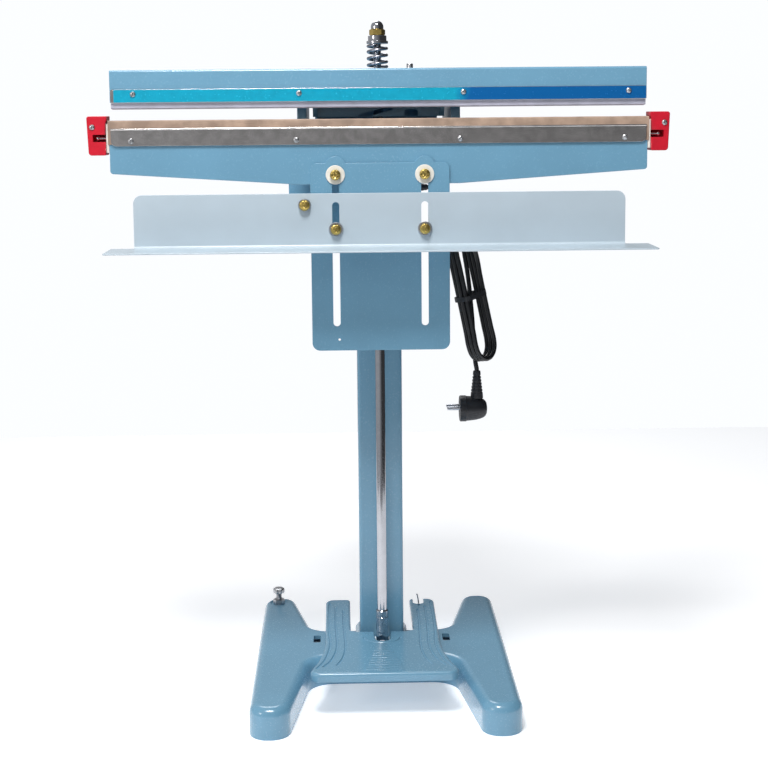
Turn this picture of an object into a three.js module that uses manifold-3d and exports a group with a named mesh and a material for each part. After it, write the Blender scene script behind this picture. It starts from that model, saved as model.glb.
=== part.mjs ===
// Foot-pedal impulse heat sealer on a stand.
// Millimetres, +Z up. The origin is on the floor under the middle of the stand.
// -Y is the operator's side, +X is the operator's right.
import * as THREE from "three";
import { mergeVertices } from "three/addons/utils/BufferGeometryUtils.js";
import Module from "manifold-3d";

const wasm = await Module();
wasm.setup();

// ---------------------------------------------------------------- driving dimensions

const GAP = 0.3; // between faces that touch

const BASE = {
  halfWidth: 171, halfDepth: 208, height: 40, wall: 5, edge: 12,
  toeInner: 122, tipInner: 128, bridgeFront: -35, bridgeRear: 68, fillet: 35,
};
const HINGE = { y: 50, z: 26, radius: 5, halfLength: 106 }; // the pedal's axle
const PEDAL = {
  top: 60.5, plate: 7, front: -148, halfFront: 99, halfWaist: 77.5, waistY: -39,
  armOuter: 79, armInner: 43, armRear: 133, rearEdge: 2, notch: 10.5, skirt: 48, skirtRear: -54,
};
const LEVELLER = { x: -150, y: 184, recess: 13, seat: 37.5, radius: 4 }; // the bolt in the rear left toe
const RETURN = { x: 56, radius: 5, wire: 0.95, turns: 10, eye: 2.2, hookY: 104, slot: 7.5, slotFront: 117.5 };
const COLUMN = {
  half: 30, front: 10, rear: 70, wall: 3, top: 699.7, collar: 36, collarEdge: 43, collarTop: 50,
};
const ROD = {
  y: -17, radius: 6.5, thread: 5, foot: 46, shoulder: 800, top: 879, pinZ: 30, sleeve: 8.3, sleeveTop: 98,
};
const PLATE = {
  half: 87.5, front: -100.8, rear: -98.3, top: 706.5, bottom: 469,
  bumpZ: 701.5, bumpRadius: 13.5, screwZ: 692,
};
const SLOT = { x: 56, halfWidth: 4.5, low: 500, high: 702 };
const LOWER = {
  half: 337, front: -98, rear: -70, top: 750, bottomEnd: 695.5, bottomMid: 679.9, midHalf: 100, wall: 6,
};
const SEAL_TOP = 762; // top of the cloth over the heating element
const UPPER = {
  half: 335, front: -98, rear: -72, bottom: 783.7, top: 824, wall: 5, rubberBottom: 776.4, stripTop: 800,
};
const ARM = {
  half: 84, web: 6, plateBottom: 815.5, top: 823.5, hingeY: 80, hingeZ: 790, shaft: 8, boltX: 42,
};
const HEAD = { half: 104, cheek: 12, floorBottom: 700, floorTop: 708, front: -69.7, rear: 92 };
const SPRING = { bottom: 826.2, top: 857.2, radius: 12.1, wire: 1.9, turns: 3.6 };
const BLOCK = { inner: 341, outer: 364.5, bottom: 718.7, top: 767.4, front: -101, rear: -74, tab: 760 };
const PIN = { y: -94, z: 740, groove: 4.5, grooveDepth: -89.5 }; // the element's tension pins
const TABLE = {
  half: 309, shelfHalf: 338, sheet: 2, front: -103.4, top: 669, bottom: 600.6, shelfFront: -173,
  slotLow: 624.5, slotHigh: 653.5, screwZ: 623.7, guideX: -95, guideZ: 654.5,
};
const BOX = { left: -121, right: 41, front: 70.3, rear: 150, bottom: 600, top: 697, wall: 2 };
const PANEL = { knob: [-84, 652], rocker: [-12, 652], lamp: [-48, 672], gland: [100, 665] };
const LEAD_HOLE = { radius: 5, y: 110, left: -100, right: 20 }; // where the element leads enter the box
const CORD = { radius: 3.25, y: 95 };
const HANK_TURN = THREE.MathUtils.degToRad(50);
const HANK = { top: [112, 602], bottom: [150, 419], width: 46, thick: 26, turn: HANK_TURN };
const PLUG = { x: 139.5, neckTop: 405, neckBottom: 366, bodyX: 115, bodyZ: 351, pinZ: 353, pinSpread: 9.5 };

const CLOSING_ANGLE = THREE.MathUtils.degToRad(4.5); // of the upper arm, rest to sealed

// ---------------------------------------------------------------- shape helpers

// A closed three.js geometry as a solid for cutting and joining.
function solid(geometry) {
  const bare = geometry.index ? geometry.clone() : geometry;
  bare.deleteAttribute("normal");
  bare.deleteAttribute("uv");
  const merged = mergeVertices(bare, 1e-4);
  const index = merged.index.array;
  const triangles = [];
  for (let i = 0; i < index.length; i += 3) {
    const [a, b, c] = [index[i], index[i + 1], index[i + 2]];
    if (a !== b && b !== c && c !== a) triangles.push(a, b, c);
  }
  return new wasm.Manifold(new wasm.Mesh({
    numProp: 3,
    vertProperties: new Float32Array(merged.attributes.position.array),
    triVerts: new Uint32Array(triangles),
  }));
}

const join = (first, ...rest) => rest.reduce((a, b) => a.add(b), first);
const cut = (first, ...rest) => rest.reduce((a, b) => a.subtract(b), first);

// A corner list [u, v, radius] as points, each corner rounded by its radius.
function rounded(corners, stepsPerQuarter = 4) {
  const points = [];
  corners.forEach(([u, v, radius = 0], i) => {
    const corner = new THREE.Vector2(u, v);
    if (!radius) {
      points.push(corner);
      return;
    }
    const before = corners[(i + corners.length - 1) % corners.length];
    const after = corners[(i + 1) % corners.length];
    const back = new THREE.Vector2(before[0] - u, before[1] - v).normalize();
    const ahead = new THREE.Vector2(after[0] - u, after[1] - v).normalize();
    const half = Math.acos(THREE.MathUtils.clamp(back.dot(ahead), -1, 1)) / 2;
    const centre = back.clone().add(ahead).setLength(radius / Math.sin(half)).add(corner);
    const start = back.clone().multiplyScalar(radius / Math.tan(half)).add(corner).sub(centre);
    const end = ahead.clone().multiplyScalar(radius / Math.tan(half)).add(corner).sub(centre);
    const turn = Math.atan2(start.cross(end), start.dot(end));
    const steps = Math.max(1, Math.ceil((Math.abs(turn) / (Math.PI / 2)) * stepsPerQuarter));
    for (let k = 0; k <= steps; k += 1) {
      points.push(start.clone().rotateAround(new THREE.Vector2(), (turn * k) / steps).add(centre));
    }
  });
  return points;
}

const circle = (radius, u = 0, v = 0, sides = 20) =>
  Array.from({ length: sides }, (_, i) => {
    const angle = (2 * Math.PI * i) / sides;
    return new THREE.Vector2(u + radius * Math.cos(angle), v + radius * Math.sin(angle));
  });

const rectangle = (u0, u1, v0, v1, radius = 0) =>
  rounded([[u0, v0, radius], [u1, v0, radius], [u1, v1, radius], [u0, v1, radius]]);

// The other half of an outline that is the same on both sides of u = 0.
const mirrored = (corners) => [...corners, ...[...corners].reverse().map(([u, v, r]) => [-u, v, r])];

// How an outline's (u, v) and its depth lie in space, for each plane.
const PLANES = {
  xy: new THREE.Matrix4(),
  xz: new THREE.Matrix4().makeBasis(
    new THREE.Vector3(1, 0, 0), new THREE.Vector3(0, 0, 1), new THREE.Vector3(0, -1, 0)),
  yz: new THREE.Matrix4().makeBasis(
    new THREE.Vector3(0, 1, 0), new THREE.Vector3(0, 0, 1), new THREE.Vector3(1, 0, 0)),
};

// An outline in a plane, from low to high along the third axis.
function prism(plane, outline, low, high, holes = [], bevel = {}) {
  const shape = new THREE.Shape(outline);
  shape.holes = holes.map((points) => new THREE.Path(points));
  const geometry = new THREE.ExtrudeGeometry(shape, {
    depth: high - low, steps: 1, bevelEnabled: false, ...bevel,
  });
  geometry.applyMatrix4(PLANES[plane]);
  if (plane === "xy") geometry.translate(0, 0, low);
  if (plane === "xz") geometry.translate(0, high, 0);
  if (plane === "yz") geometry.translate(low, 0, 0);
  return solid(geometry);
}

// A range about a middle value.
const around = (middle, half) => [middle - half, middle + half];

const block = ([x0, x1], [y0, y1], [z0, z1]) => prism("xy", rectangle(x0, x1, y0, y1), z0, z1);

// A pin, rod or hole along X, Y or Z; u and v are its centre on the other two axes.
function bar(axis, radius, u, v, low, high, sides = 20) {
  const plane = { x: "yz", y: "xz", z: "xy" }[axis];
  return prism(plane, circle(radius, u, v, sides), low, high);
}

const AXIS_TURNS = {
  z: new THREE.Euler(Math.PI / 2, 0, 0), "-y": new THREE.Euler(Math.PI, 0, 0), y: new THREE.Euler(),
  x: new THREE.Euler(0, 0, -Math.PI / 2), "-x": new THREE.Euler(0, 0, Math.PI / 2),
};

// A turned piece: profile [radius, height] from the axis round to the axis again.
function turned(profile, axis, [x, y, z] = [0, 0, 0], sides = 20) {
  const points = profile.map(([radius, height]) => new THREE.Vector2(radius, height));
  const geometry = new THREE.LatheGeometry(points, sides);
  geometry.applyMatrix4(new THREE.Matrix4().makeRotationFromEuler(AXIS_TURNS[axis]));
  geometry.translate(x, y, z);
  return solid(geometry);
}

// A round section carried along a curve.
function tube(curve, radius, steps, sides = 8) {
  const geometry = new THREE.ExtrudeGeometry(new THREE.Shape(circle(radius, 0, 0, sides)), {
    steps, bevelEnabled: false, extrudePath: curve,
  });
  return solid(geometry);
}

class Helix extends THREE.Curve {
  constructor(radius, from, to, turns) {
    super();
    Object.assign(this, { radius, from, to, turns });
    const along = to.clone().sub(from).normalize();
    this.turn = new THREE.Quaternion().setFromUnitVectors(new THREE.Vector3(0, 0, 1), along);
  }

  getPoint(t, target = new THREE.Vector3()) {
    const angle = 2 * Math.PI * this.turns * t;
    target.set(this.radius * Math.cos(angle), this.radius * Math.sin(angle), 0);
    return target.applyQuaternion(this.turn).add(this.from.clone().lerp(this.to, t));
  }
}

// ---------------------------------------------------------------- finishes

const finish = (color, roughness, metalness) =>
  new THREE.MeshStandardMaterial({ color, roughness, metalness });

const ENAMEL = finish(0x6c9ab5, 0.35, 0.1);
const SHEET_PAINT = finish(0xb6cad9, 0.3, 0.2);
const STEEL = finish(0xb9b9bd, 0.3, 1.0);
const CHROME = finish(0xd2d3d6, 0.12, 1.0);
const BRASS = finish(0xaf9650, 0.35, 1.0);
const SPRING_STEEL = finish(0x9a9ba5, 0.3, 1.0);
const CLOTH = finish(0xa58c7d, 0.6, 0.0);
const RUBBER = finish(0xafafc8, 0.55, 0.0);
const FILM = finish(0x19b4d7, 0.2, 0.0);
const RED_PLASTIC = finish(0xc4142a, 0.35, 0.0);
const WHITE_PLASTIC = finish(0xe6e4dc, 0.45, 0.0);
const BLACK_PLASTIC = finish(0x1b1c20, 0.45, 0.0);
const LAMINATE = finish(0x8a5a33, 0.6, 0.0);
const BOARD = finish(0x2b6b45, 0.5, 0.0);
const CORE = finish(0x6d6f74, 0.55, 0.7);
const WIRE = finish(0xb8452f, 0.5, 0.0);
const LAMP = finish(0xd8402a, 0.15, 0.0);

const machine = new THREE.Group();

function section(name) {
  const group = new THREE.Group();
  group.name = name;
  machine.add(group);
  return group;
}

function add(group, name, shape, material, [x, y, z] = [0, 0, 0]) {
  const { vertProperties, triVerts } = shape.getMesh();
  const geometry = new THREE.BufferGeometry();
  geometry.setAttribute("position", new THREE.BufferAttribute(vertProperties, 3));
  geometry.setIndex(new THREE.BufferAttribute(triVerts, 1));
  geometry.computeVertexNormals();
  const mesh = new THREE.Mesh(geometry, material);
  mesh.name = name;
  mesh.position.set(x, y, z);
  group.add(mesh);
  return mesh;
}

const SIDES = [["left", -1], ["right", 1]];

// ---------------------------------------------------------------- stand

const stand = section("stand");

// H-shaped foot: two straight outer edges, round toes and a bridge under the column.
function baseOutline() {
  const quarter = [
    [60, BASE.bridgeFront],
    [97, BASE.bridgeFront, BASE.fillet],
    [BASE.toeInner, -BASE.halfDepth, 24],
    [BASE.halfWidth, -BASE.halfDepth, 24],
    [BASE.halfWidth, BASE.halfDepth, 21],
    [BASE.tipInner, BASE.halfDepth, 21],
    [96, BASE.bridgeRear, 30],
    [60, BASE.bridgeRear],
  ];
  return rounded(mirrored(quarter), 4);
}

function baseCasting() {
  const outline = baseOutline();
  const innerEdge = 7;
  const shell = prism("xy", outline, 0, BASE.height - BASE.edge, [], {
    bevelEnabled: true, bevelThickness: BASE.edge, bevelSize: BASE.edge, bevelOffset: -BASE.edge,
    bevelSegments: 3,
  });
  const hollow = prism("xy", outline, 0, BASE.height - BASE.edge - BASE.wall, [], {
    bevelEnabled: true, bevelThickness: BASE.edge, bevelSize: innerEdge,
    bevelOffset: -innerEdge - BASE.wall, bevelSegments: 1,
  });
  const underFloor = block([-200, 200], [-240, 240], [-60, 0]);
  const above = BASE.height + 5;
  let casting = cut(shell, hollow, underFloor);
  for (const [, side] of SIDES) {
    // two ribs a side carry the axle inside the bridge
    for (const x of [79, 102]) {
      const ribDepth = [BASE.bridgeFront + 3, BASE.bridgeRear - 3];
      casting = join(casting, block(around(side * x, 3), ribDepth, [0.5, BASE.height - 3]));
    }
    // a square core opening beside each pedal arm, and the opening for the pedal's hinge lug
    const coreOpening = block(around(side * 90, 5), [16, 42], [BASE.height - 10, above]);
    const lugOpening = block(around(side * 56, 9.5), [24, 63], [10, above]);
    casting = cut(casting, coreOpening, lugOpening);
  }
  // the opening under the pull rod, and the eye of the return spring
  const rodOpening = block([-22, 22], [-30, 1], [10, above]);
  const springLug = prism(
    "yz", rectangle(BASE.bridgeRear - 3, BASE.bridgeRear + 11, 8, 20, 3), ...around(RETURN.x, 2));
  const axleHole = bar("x", HINGE.radius + GAP, HINGE.y, HINGE.z, -130, 130);
  const lugHole = bar("x", 2, BASE.bridgeRear + 6, 14, ...around(RETURN.x, 10), 10);
  const boltHole = bar("z", LEVELLER.radius + 0.6, LEVELLER.x, LEVELLER.y, 20, 60, 16);
  const boltSeat = bar("z", LEVELLER.recess, LEVELLER.x, LEVELLER.y, LEVELLER.seat, above, 24);
  return cut(join(casting, springLug), rodOpening, axleHole, lugHole, boltHole, boltSeat);
}

add(stand, "base_casting", baseCasting(), ENAMEL);
add(stand, "levelling_bolt", turned(
  [[0, 1], [3.4, 1], [LEVELLER.radius, 2], [LEVELLER.radius, 54], [7.5, 54.3], [8.6, 55.5], [8.6, 60],
    [6.5, 62], [0, 62]], "z", [LEVELLER.x, LEVELLER.y, 0], 12), STEEL);
add(stand, "levelling_nut", prism(
  "xy", circle(8.8, LEVELLER.x, LEVELLER.y, 6), LEVELLER.seat + GAP, LEVELLER.seat + 7.5,
  [circle(LEVELLER.radius + GAP, LEVELLER.x, LEVELLER.y, 12)]), STEEL);
add(stand, "pedal_axle", bar(
  "x", HINGE.radius, HINGE.y, HINGE.z, -HINGE.halfLength, HINGE.halfLength), STEEL);

const columnSection = (grow) => rectangle(
  -COLUMN.half - grow, COLUMN.half + grow, COLUMN.front - grow, COLUMN.rear + grow, Math.max(1, 4 + grow));
add(stand, "column", prism(
  "xy", columnSection(0), BASE.height + GAP, COLUMN.top, [columnSection(-COLUMN.wall)]), ENAMEL);

// the foot flange of the column: upright, then drawn in to the column by a long chamfer
function collarShape() {
  const chamfer = COLUMN.collarTop - COLUMN.collarEdge;
  const inset = COLUMN.collar - COLUMN.half - 1;
  const outside = prism(
    "xy", columnSection(COLUMN.collar - COLUMN.half), BASE.height, COLUMN.collarEdge, [],
    { bevelEnabled: true, bevelThickness: chamfer, bevelSize: inset, bevelOffset: -inset, bevelSegments: 1 });
  const bore = prism("xy", columnSection(GAP), 0, COLUMN.collarTop + 5);
  return cut(outside, bore, block([-50, 50], [-20, 100], [0, BASE.height + GAP]));
}

add(stand, "column_collar", collarShape(), ENAMEL);

// ---------------------------------------------------------------- pedal

const footPedal = section("foot_pedal");

function pedalOutline() {
  const half = [
    [PEDAL.notch, PEDAL.rearEdge, 2],
    [PEDAL.armInner, PEDAL.rearEdge, 10],
    [PEDAL.armInner, PEDAL.armRear, 5.5],
    [PEDAL.armOuter, PEDAL.armRear, 12],
    [PEDAL.armOuter - 1, 30],
    [PEDAL.halfWaist, PEDAL.waistY],
    [80, -72],
    [86, -104],
    [PEDAL.halfFront, PEDAL.front, 12],
  ];
  const left = [...half].reverse().map(([u, v, r]) => [-u, v, r]);
  const notchFront = ROD.y - 7.5 - PEDAL.notch;
  const bend = PEDAL.notch - 0.1;
  const notch = prism("xy", rounded([
    [-PEDAL.notch, notchFront, bend], [PEDAL.notch, notchFront, bend], [PEDAL.notch, 30], [-PEDAL.notch, 30],
  ], 5), 0, 100);
  return { outline: rounded([...half, ...left], 3), notch };
}

function pedalShape() {
  const { outline, notch } = pedalOutline();
  const soft = { bevelEnabled: true, bevelThickness: 3, bevelSize: 3, bevelOffset: -3, bevelSegments: 2 };
  const plate = prism("xy", outline, PEDAL.skirt, PEDAL.top - 3, [], soft);
  const inside = prism("xy", outline, PEDAL.skirt - 20, PEDAL.top - PEDAL.plate, [], {
    bevelEnabled: true, bevelThickness: 0.01, bevelSize: 0.01, bevelOffset: -4, bevelSegments: 1,
  });
  const front = block([-120, 120], [-170, PEDAL.skirtRear], [0, 100]);
  const rearUnder = block([-120, 120], [PEDAL.skirtRear, 160], [0, PEDAL.top - PEDAL.plate]);
  const belowSkirt = block([-120, 120], [-170, 0], [0, PEDAL.skirt]);
  let pedal = cut(plate, notch, inside.intersect(front), rearUnder, belowSkirt);
  const lug = (x0, x1, y, z, half, radius) => cut(
    prism("yz", rounded(
      [[y - half, z - half, half - 0.5], [y + half, z - half, half - 0.5], [y + half, PEDAL.top - 3],
        [y - half, PEDAL.top - 3]], 3), x0, x1),
    bar("x", radius, y, z, x0 - 1, x1 + 1, 16));
  for (const [, side] of SIDES) {
    const at = (inner, outer) => [Math.min(side * inner, side * outer), Math.max(side * inner, side * outer)];
    pedal = join(pedal, lug(...at(51, 61), HINGE.y, HINGE.z, 11, HINGE.radius + GAP));
    pedal = join(pedal, lug(...at(PEDAL.notch + 0.5, 16.5), ROD.y, ROD.pinZ, 8, 3 + 0.2));
  }
  // the right arm's tip is forked, and the return spring hooks in just ahead of the fork
  const springHole = bar("z", RETURN.eye, RETURN.x, RETURN.hookY, 40, 70, 10);
  const forkBottom = RETURN.slotFront - RETURN.slot;
  const [forkLeft, forkRight] = around(RETURN.x, RETURN.slot);
  const fork = prism("xy", rounded([
    [forkLeft, forkBottom, RETURN.slot - 0.1], [forkRight, forkBottom, RETURN.slot - 0.1],
    [forkRight, PEDAL.armRear + 5], [forkLeft, PEDAL.armRear + 5]], 4), 40, 70);
  return cut(pedal, springHole, fork);
}

add(footPedal, "pedal", pedalShape(), ENAMEL);
add(footPedal, "clevis_pin", bar("x", 3, ROD.y, ROD.pinZ, -18, 18, 12), STEEL);
const springLow = new THREE.Vector3(RETURN.x, 81, 19);
const springHigh = new THREE.Vector3(RETURN.x, RETURN.hookY, 48);
const returnHelix = new Helix(RETURN.radius, springLow, springHigh, RETURN.turns);
add(stand, "return_spring", tube(returnHelix, RETURN.wire, 110, 5), SPRING_STEEL);

// ---------------------------------------------------------------- pull rod and pressure spring

const pullRod = section("pull_rod");

add(pullRod, "pull_rod", turned(
  [[0, ROD.foot], [ROD.radius, ROD.foot], [ROD.radius, ROD.shoulder], [ROD.thread, ROD.shoulder + 2],
    [ROD.thread, ROD.top], [0, ROD.top]], "z", [0, ROD.y, 0], 24), CHROME);
add(pullRod, "rod_clevis", cut(
  turned([[0, 20], [ROD.sleeve - 1, 20], [ROD.sleeve, 21], [ROD.sleeve, ROD.sleeveTop - 1],
    [ROD.sleeve - 1, ROD.sleeveTop], [0, ROD.sleeveTop]], "z", [0, ROD.y, 0], 24),
  bar("z", ROD.radius + GAP, 0, ROD.y, ROD.foot - GAP, ROD.sleeveTop + 5),
  bar("x", 4, ROD.y, ROD.pinZ, -20, 20, 16)), CHROME);

const ring = (outer, inner, low, high, sides) => prism(
  "xy", circle(outer, 0, ROD.y, sides), low, high, [circle(inner, 0, ROD.y, 20)]);
add(pullRod, "lift_collar", ring(13, ROD.thread + GAP, 806, ARM.plateBottom - GAP, 20), STEEL);
add(pullRod, "spring_washer", join(
  ring(14, ROD.thread + GAP, SPRING.top + GAP, 861, 24), ring(12, ROD.thread + GAP, 861, 868, 24)), CHROME);
add(pullRod, "adjusting_nut", ring(10.4, ROD.thread + GAP, 868.3, 876, 6), BRASS);
add(pullRod, "cap_nut", cut(
  turned([[0, 876.3], [8.2, 876.3], [8.2, 879.5], [7, 883], [4.6, 885.6], [0, 887]], "z", [0, ROD.y, 0], 16),
  bar("z", ROD.thread + GAP, 0, ROD.y, 870, ROD.top + GAP)), CHROME);

// ---------------------------------------------------------------- head

const head = section("head");

add(head, "head_floor", prism(
  "xy", rectangle(-HEAD.half, HEAD.half, HEAD.front, HEAD.rear, 3), HEAD.floorBottom, HEAD.floorTop,
  [circle(ROD.radius + 2, 0, ROD.y, 20)]), ENAMEL);

function cheekShape() {
  const side = prism("yz", rounded([
    [HEAD.front, HEAD.floorTop + GAP], [HEAD.rear, HEAD.floorTop + GAP, 3], [ARM.hingeY + 18, 760],
    [ARM.hingeY + 18, ARM.hingeZ + 18, 18], [ARM.hingeY - 24, ARM.hingeZ + 18, 14], [20, 782, 20],
    [-60, 778, 6], [-62, 748, 3], [HEAD.front, 742]]), 0, HEAD.cheek);
  return cut(side, bar("x", ARM.shaft + GAP, ARM.hingeY, ARM.hingeZ, -5, HEAD.cheek + 5));
}

add(head, "head_cheek_left", cheekShape(), ENAMEL, [-HEAD.half, 0, 0]);
add(head, "head_cheek_right", cheekShape(), ENAMEL, [HEAD.half - HEAD.cheek, 0, 0]);
const shaftEnds = around(0, HEAD.half + 4);
add(head, "arm_shaft", bar("x", ARM.shaft, ARM.hingeY, ARM.hingeZ, ...shaftEnds, 24), STEEL);
const switchTop = HEAD.floorTop + 30;
add(head, "micro_switch", join(
  block([62, 68], [20, 48], [HEAD.floorTop + GAP, switchTop]),
  block([63.5, 66.5], [36, 40], [switchTop, switchTop + 4])), BLACK_PLASTIC);

// ---------------------------------------------------------------- upper arm and jaw

const upperArm = section("upper_arm");

function armShape() {
  const plate = rounded(mirrored(
    [[ARM.half, UPPER.rear + GAP, 2], [ARM.half, 60], [ARM.half, ARM.hingeY + 12, 6]]));
  const top = prism("xy", plate, ARM.plateBottom, ARM.top);
  const webProfile = rounded([
    [UPPER.rear + GAP, 786], [-52, 764], [-46, 764], [40, 776, 20], [ARM.hingeY - 10, 774, 8],
    [ARM.hingeY + 15, 774, 15], [ARM.hingeY + 15, ARM.top, 8], [UPPER.rear + GAP, ARM.top]]);
  let arm = top;
  for (const [, side] of SIDES) {
    const x0 = side < 0 ? -ARM.half : ARM.half - ARM.web;
    arm = join(arm, prism("yz", webProfile, x0, x0 + ARM.web));
  }
  // the cross web behind the jaw, with its wiring hole and slanted slot
  const crossWeb = prism("xz", rectangle(-ARM.half, ARM.half, 764, ARM.top), -52, -46, [
    rounded([[33, 764.4], [51, 764.4], [51, 773, 4], [33, 773, 4]], 3),
    rounded([[-27, 764.5], [-12, 764.5], [19, 772.5], [17, 775], [8, 775], [-24, 767.5]], 2),
  ]);
  // the end web closes the casting behind the shaft
  const endWeb = block([-ARM.half, ARM.half], [ARM.hingeY + 9, ARM.hingeY + 15], [750, ARM.top - 3]);
  const springSeat = bar("z", 17, 0, ROD.y, ARM.top - 1, SPRING.bottom - GAP, 24);
  arm = join(arm, crossWeb, endWeb, springSeat);
  const rodSlot = prism("xy", rectangle(-8.5, 8.5, ROD.y - 9.5, ROD.y + 13, 8), 800, 840);
  return cut(
    arm, rodSlot,
    bar("x", ARM.shaft + GAP, ARM.hingeY, ARM.hingeZ, -120, 120, 24),
    bar("z", 3.3, ARM.boltX, ROD.y, 800, 840, 12));
}

function upperJawShape() {
  const { front, rear, bottom, top, wall } = UPPER;
  const channel = rounded([
    [front, bottom, 1], [rear, bottom], [rear, bottom + wall], [front + wall, bottom + wall, 2],
    [front + wall, top - wall, 2], [rear, top - wall], [rear, top], [front, top, 3]], 2);
  return prism("yz", channel, -UPPER.half, UPPER.half);
}

add(upperArm, "upper_arm", armShape(), ENAMEL);
add(upperArm, "arm_bolt", turned(
  [[0, 806], [3, 806], [3, ARM.top + GAP], [4.2, ARM.top + GAP], [4.2, 830.5], [3, 832], [0, 832]],
  "z", [ARM.boltX, ROD.y, 0], 12), STEEL);
const pressureHelix = new Helix(
  SPRING.radius, new THREE.Vector3(0, ROD.y, SPRING.bottom + SPRING.wire),
  new THREE.Vector3(0, ROD.y, SPRING.top - SPRING.wire), SPRING.turns);
add(upperArm, "pressure_spring", tube(pressureHelix, SPRING.wire, 58, 6), SPRING_STEEL);
add(upperArm, "upper_jaw", upperJawShape(), ENAMEL);
// its lower face slopes by the closing angle, so that it lies flat on the seal when the jaw is down
add(upperArm, "silicone_strip", prism("yz", [
  [-97, UPPER.rubberBottom], [-83, UPPER.rubberBottom - 14 * Math.tan(CLOSING_ANGLE)],
  [-83, UPPER.bottom - GAP], [-97, UPPER.bottom - GAP],
].map(([y, z]) => new THREE.Vector2(y, z)), -UPPER.half + 1, UPPER.half - 1), RUBBER);
const stripFront = UPPER.front - 1.5;
add(upperArm, "upper_clamp_strip", prism(
  "xz", rectangle(-UPPER.half + 1, UPPER.half - 1, UPPER.bottom, UPPER.stripTop, 2),
  stripFront, UPPER.front - GAP), STEEL);
add(upperArm, "protective_film", prism(
  "xz", rectangle(-UPPER.half + 5, UPPER.half - 1, UPPER.bottom + GAP, UPPER.stripTop - 0.5),
  stripFront - 2 * GAP, stripFront - GAP), FILM);

// ---------------------------------------------------------------- lower jaw

const lowerJaw = section("lower_jaw");

function lowerJawShape() {
  const { half, front, rear, top, wall } = LOWER;
  const face = prism("xz", rounded(mirrored(
    [[LOWER.midHalf, LOWER.bottomMid], [half, LOWER.bottomEnd, 4], [half, top]])), front, front + wall,
  SIDES.map(([, side]) => circle(4, side * SLOT.x, PLATE.screwZ, 12)));
  let jaw = join(face, block([-half, half], [front, rear], [top - 8, top]));
  for (const x of [-half + 3, -225, -98, 98, 225, half - 3]) {
    const rib = prism("yz", rounded(
      [[front + 1, 702], [front + wall + 2, 702], [rear, top - 20, 8], [rear, top - 1],
        [front + 1, top - 1]]),
    x - 3, x + 3);
    jaw = join(jaw, rib);
  }
  return jaw;
}

add(lowerJaw, "lower_jaw", lowerJawShape(), ENAMEL);
add(lowerJaw, "insulation_bed", block(
  [-LOWER.half + 1, LOWER.half - 1], [LOWER.front, LOWER.rear], [LOWER.top + GAP, SEAL_TOP - 1.9]), LAMINATE);
add(lowerJaw, "heating_element", block(
  [-LOWER.half - 2, LOWER.half + 2], [-92.5, -87.5], [SEAL_TOP - 1.6, SEAL_TOP - 1.2]), STEEL);

function clothShape() {
  const [outer, inner, topIn] = [-99, -98.3, SEAL_TOP - 0.9];
  const [frontHem, rearHem] = [732, 746];
  const profile = rounded([
    [outer, frontHem], [inner, frontHem], [inner, topIn], [LOWER.rear + GAP, topIn],
    [LOWER.rear + GAP, rearHem],
    [LOWER.rear + 1, rearHem], [LOWER.rear + 1, SEAL_TOP, 0.8], [outer, SEAL_TOP, 0.8]], 2);
  return prism("yz", profile, ...around(0, LOWER.half + 1.5));
}

add(lowerJaw, "ptfe_cloth", clothShape(), CLOTH);
add(lowerJaw, "lower_clamp_strip", join(
  prism("xz", rounded([[-335, 730, 7], [335, 730, 7], [335, 752], [-335, 752]]), -100.5, -99 - GAP),
  bar("x", 1.3, -100.6, 750.7, -335, 335, 10)), STEEL);

function endBlockShape(side) {
  const { inner, outer, bottom, top, tab } = BLOCK;
  const outline = [
    [inner, bottom, 2], [outer - 2, bottom, 4], [outer, top, 3], [LOWER.half + 2.4, top, 1],
    [LOWER.half + 2.4, SEAL_TOP + 0.4], [inner - 0.2, tab],
  ].map(([u, v, r]) => [side * u, v, r]);
  if (side < 0) outline.reverse();
  const body = prism("xz", rounded(outline, 3), BLOCK.front, BLOCK.rear);
  const groove = block(around(side * 343.5, 13.5), [-120, PIN.grooveDepth], around(PIN.z, PIN.groove));
  return cut(body, groove);
}

for (const [name, side] of SIDES) {
  add(lowerJaw, `end_block_${name}`, endBlockShape(side), RED_PLASTIC);
  const middle = (side * (LOWER.half + BLOCK.inner)) / 2;
  const half = (BLOCK.inner - LOWER.half) / 2 - GAP;
  add(lowerJaw, `end_insulator_${name}`, cut(
    block(around(middle, half), [LOWER.front, LOWER.rear - 3], [722, 758]),
    bar("x", 2.6, PIN.y, PIN.z, ...around(middle, half + 1), 12)), WHITE_PLASTIC);
}

// spring-loaded pins that keep the heating element tight
for (const [name, side] of SIDES) {
  const pin = turned(
    [[0, 0], [2, 0], [2, 11.5], [3.2, 12.5], [3.2, 14.5], [2, 15.8], [0, 16.2]],
    side > 0 ? "x" : "-x", [side * (LOWER.half + 0.4), PIN.y, PIN.z], 12);
  add(lowerJaw, `tension_pin_${name}`, pin, CHROME);
}

// ---------------------------------------------------------------- slotted plate and work table

const worktop = section("worktop");

const slotOutline = (x, low, high) => rounded([
  [x - SLOT.halfWidth, low, SLOT.halfWidth - 0.1], [x + SLOT.halfWidth, low, SLOT.halfWidth - 0.1],
  [x + SLOT.halfWidth, high, SLOT.halfWidth - 0.1], [x - SLOT.halfWidth, high, SLOT.halfWidth - 0.1]], 3);

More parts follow.
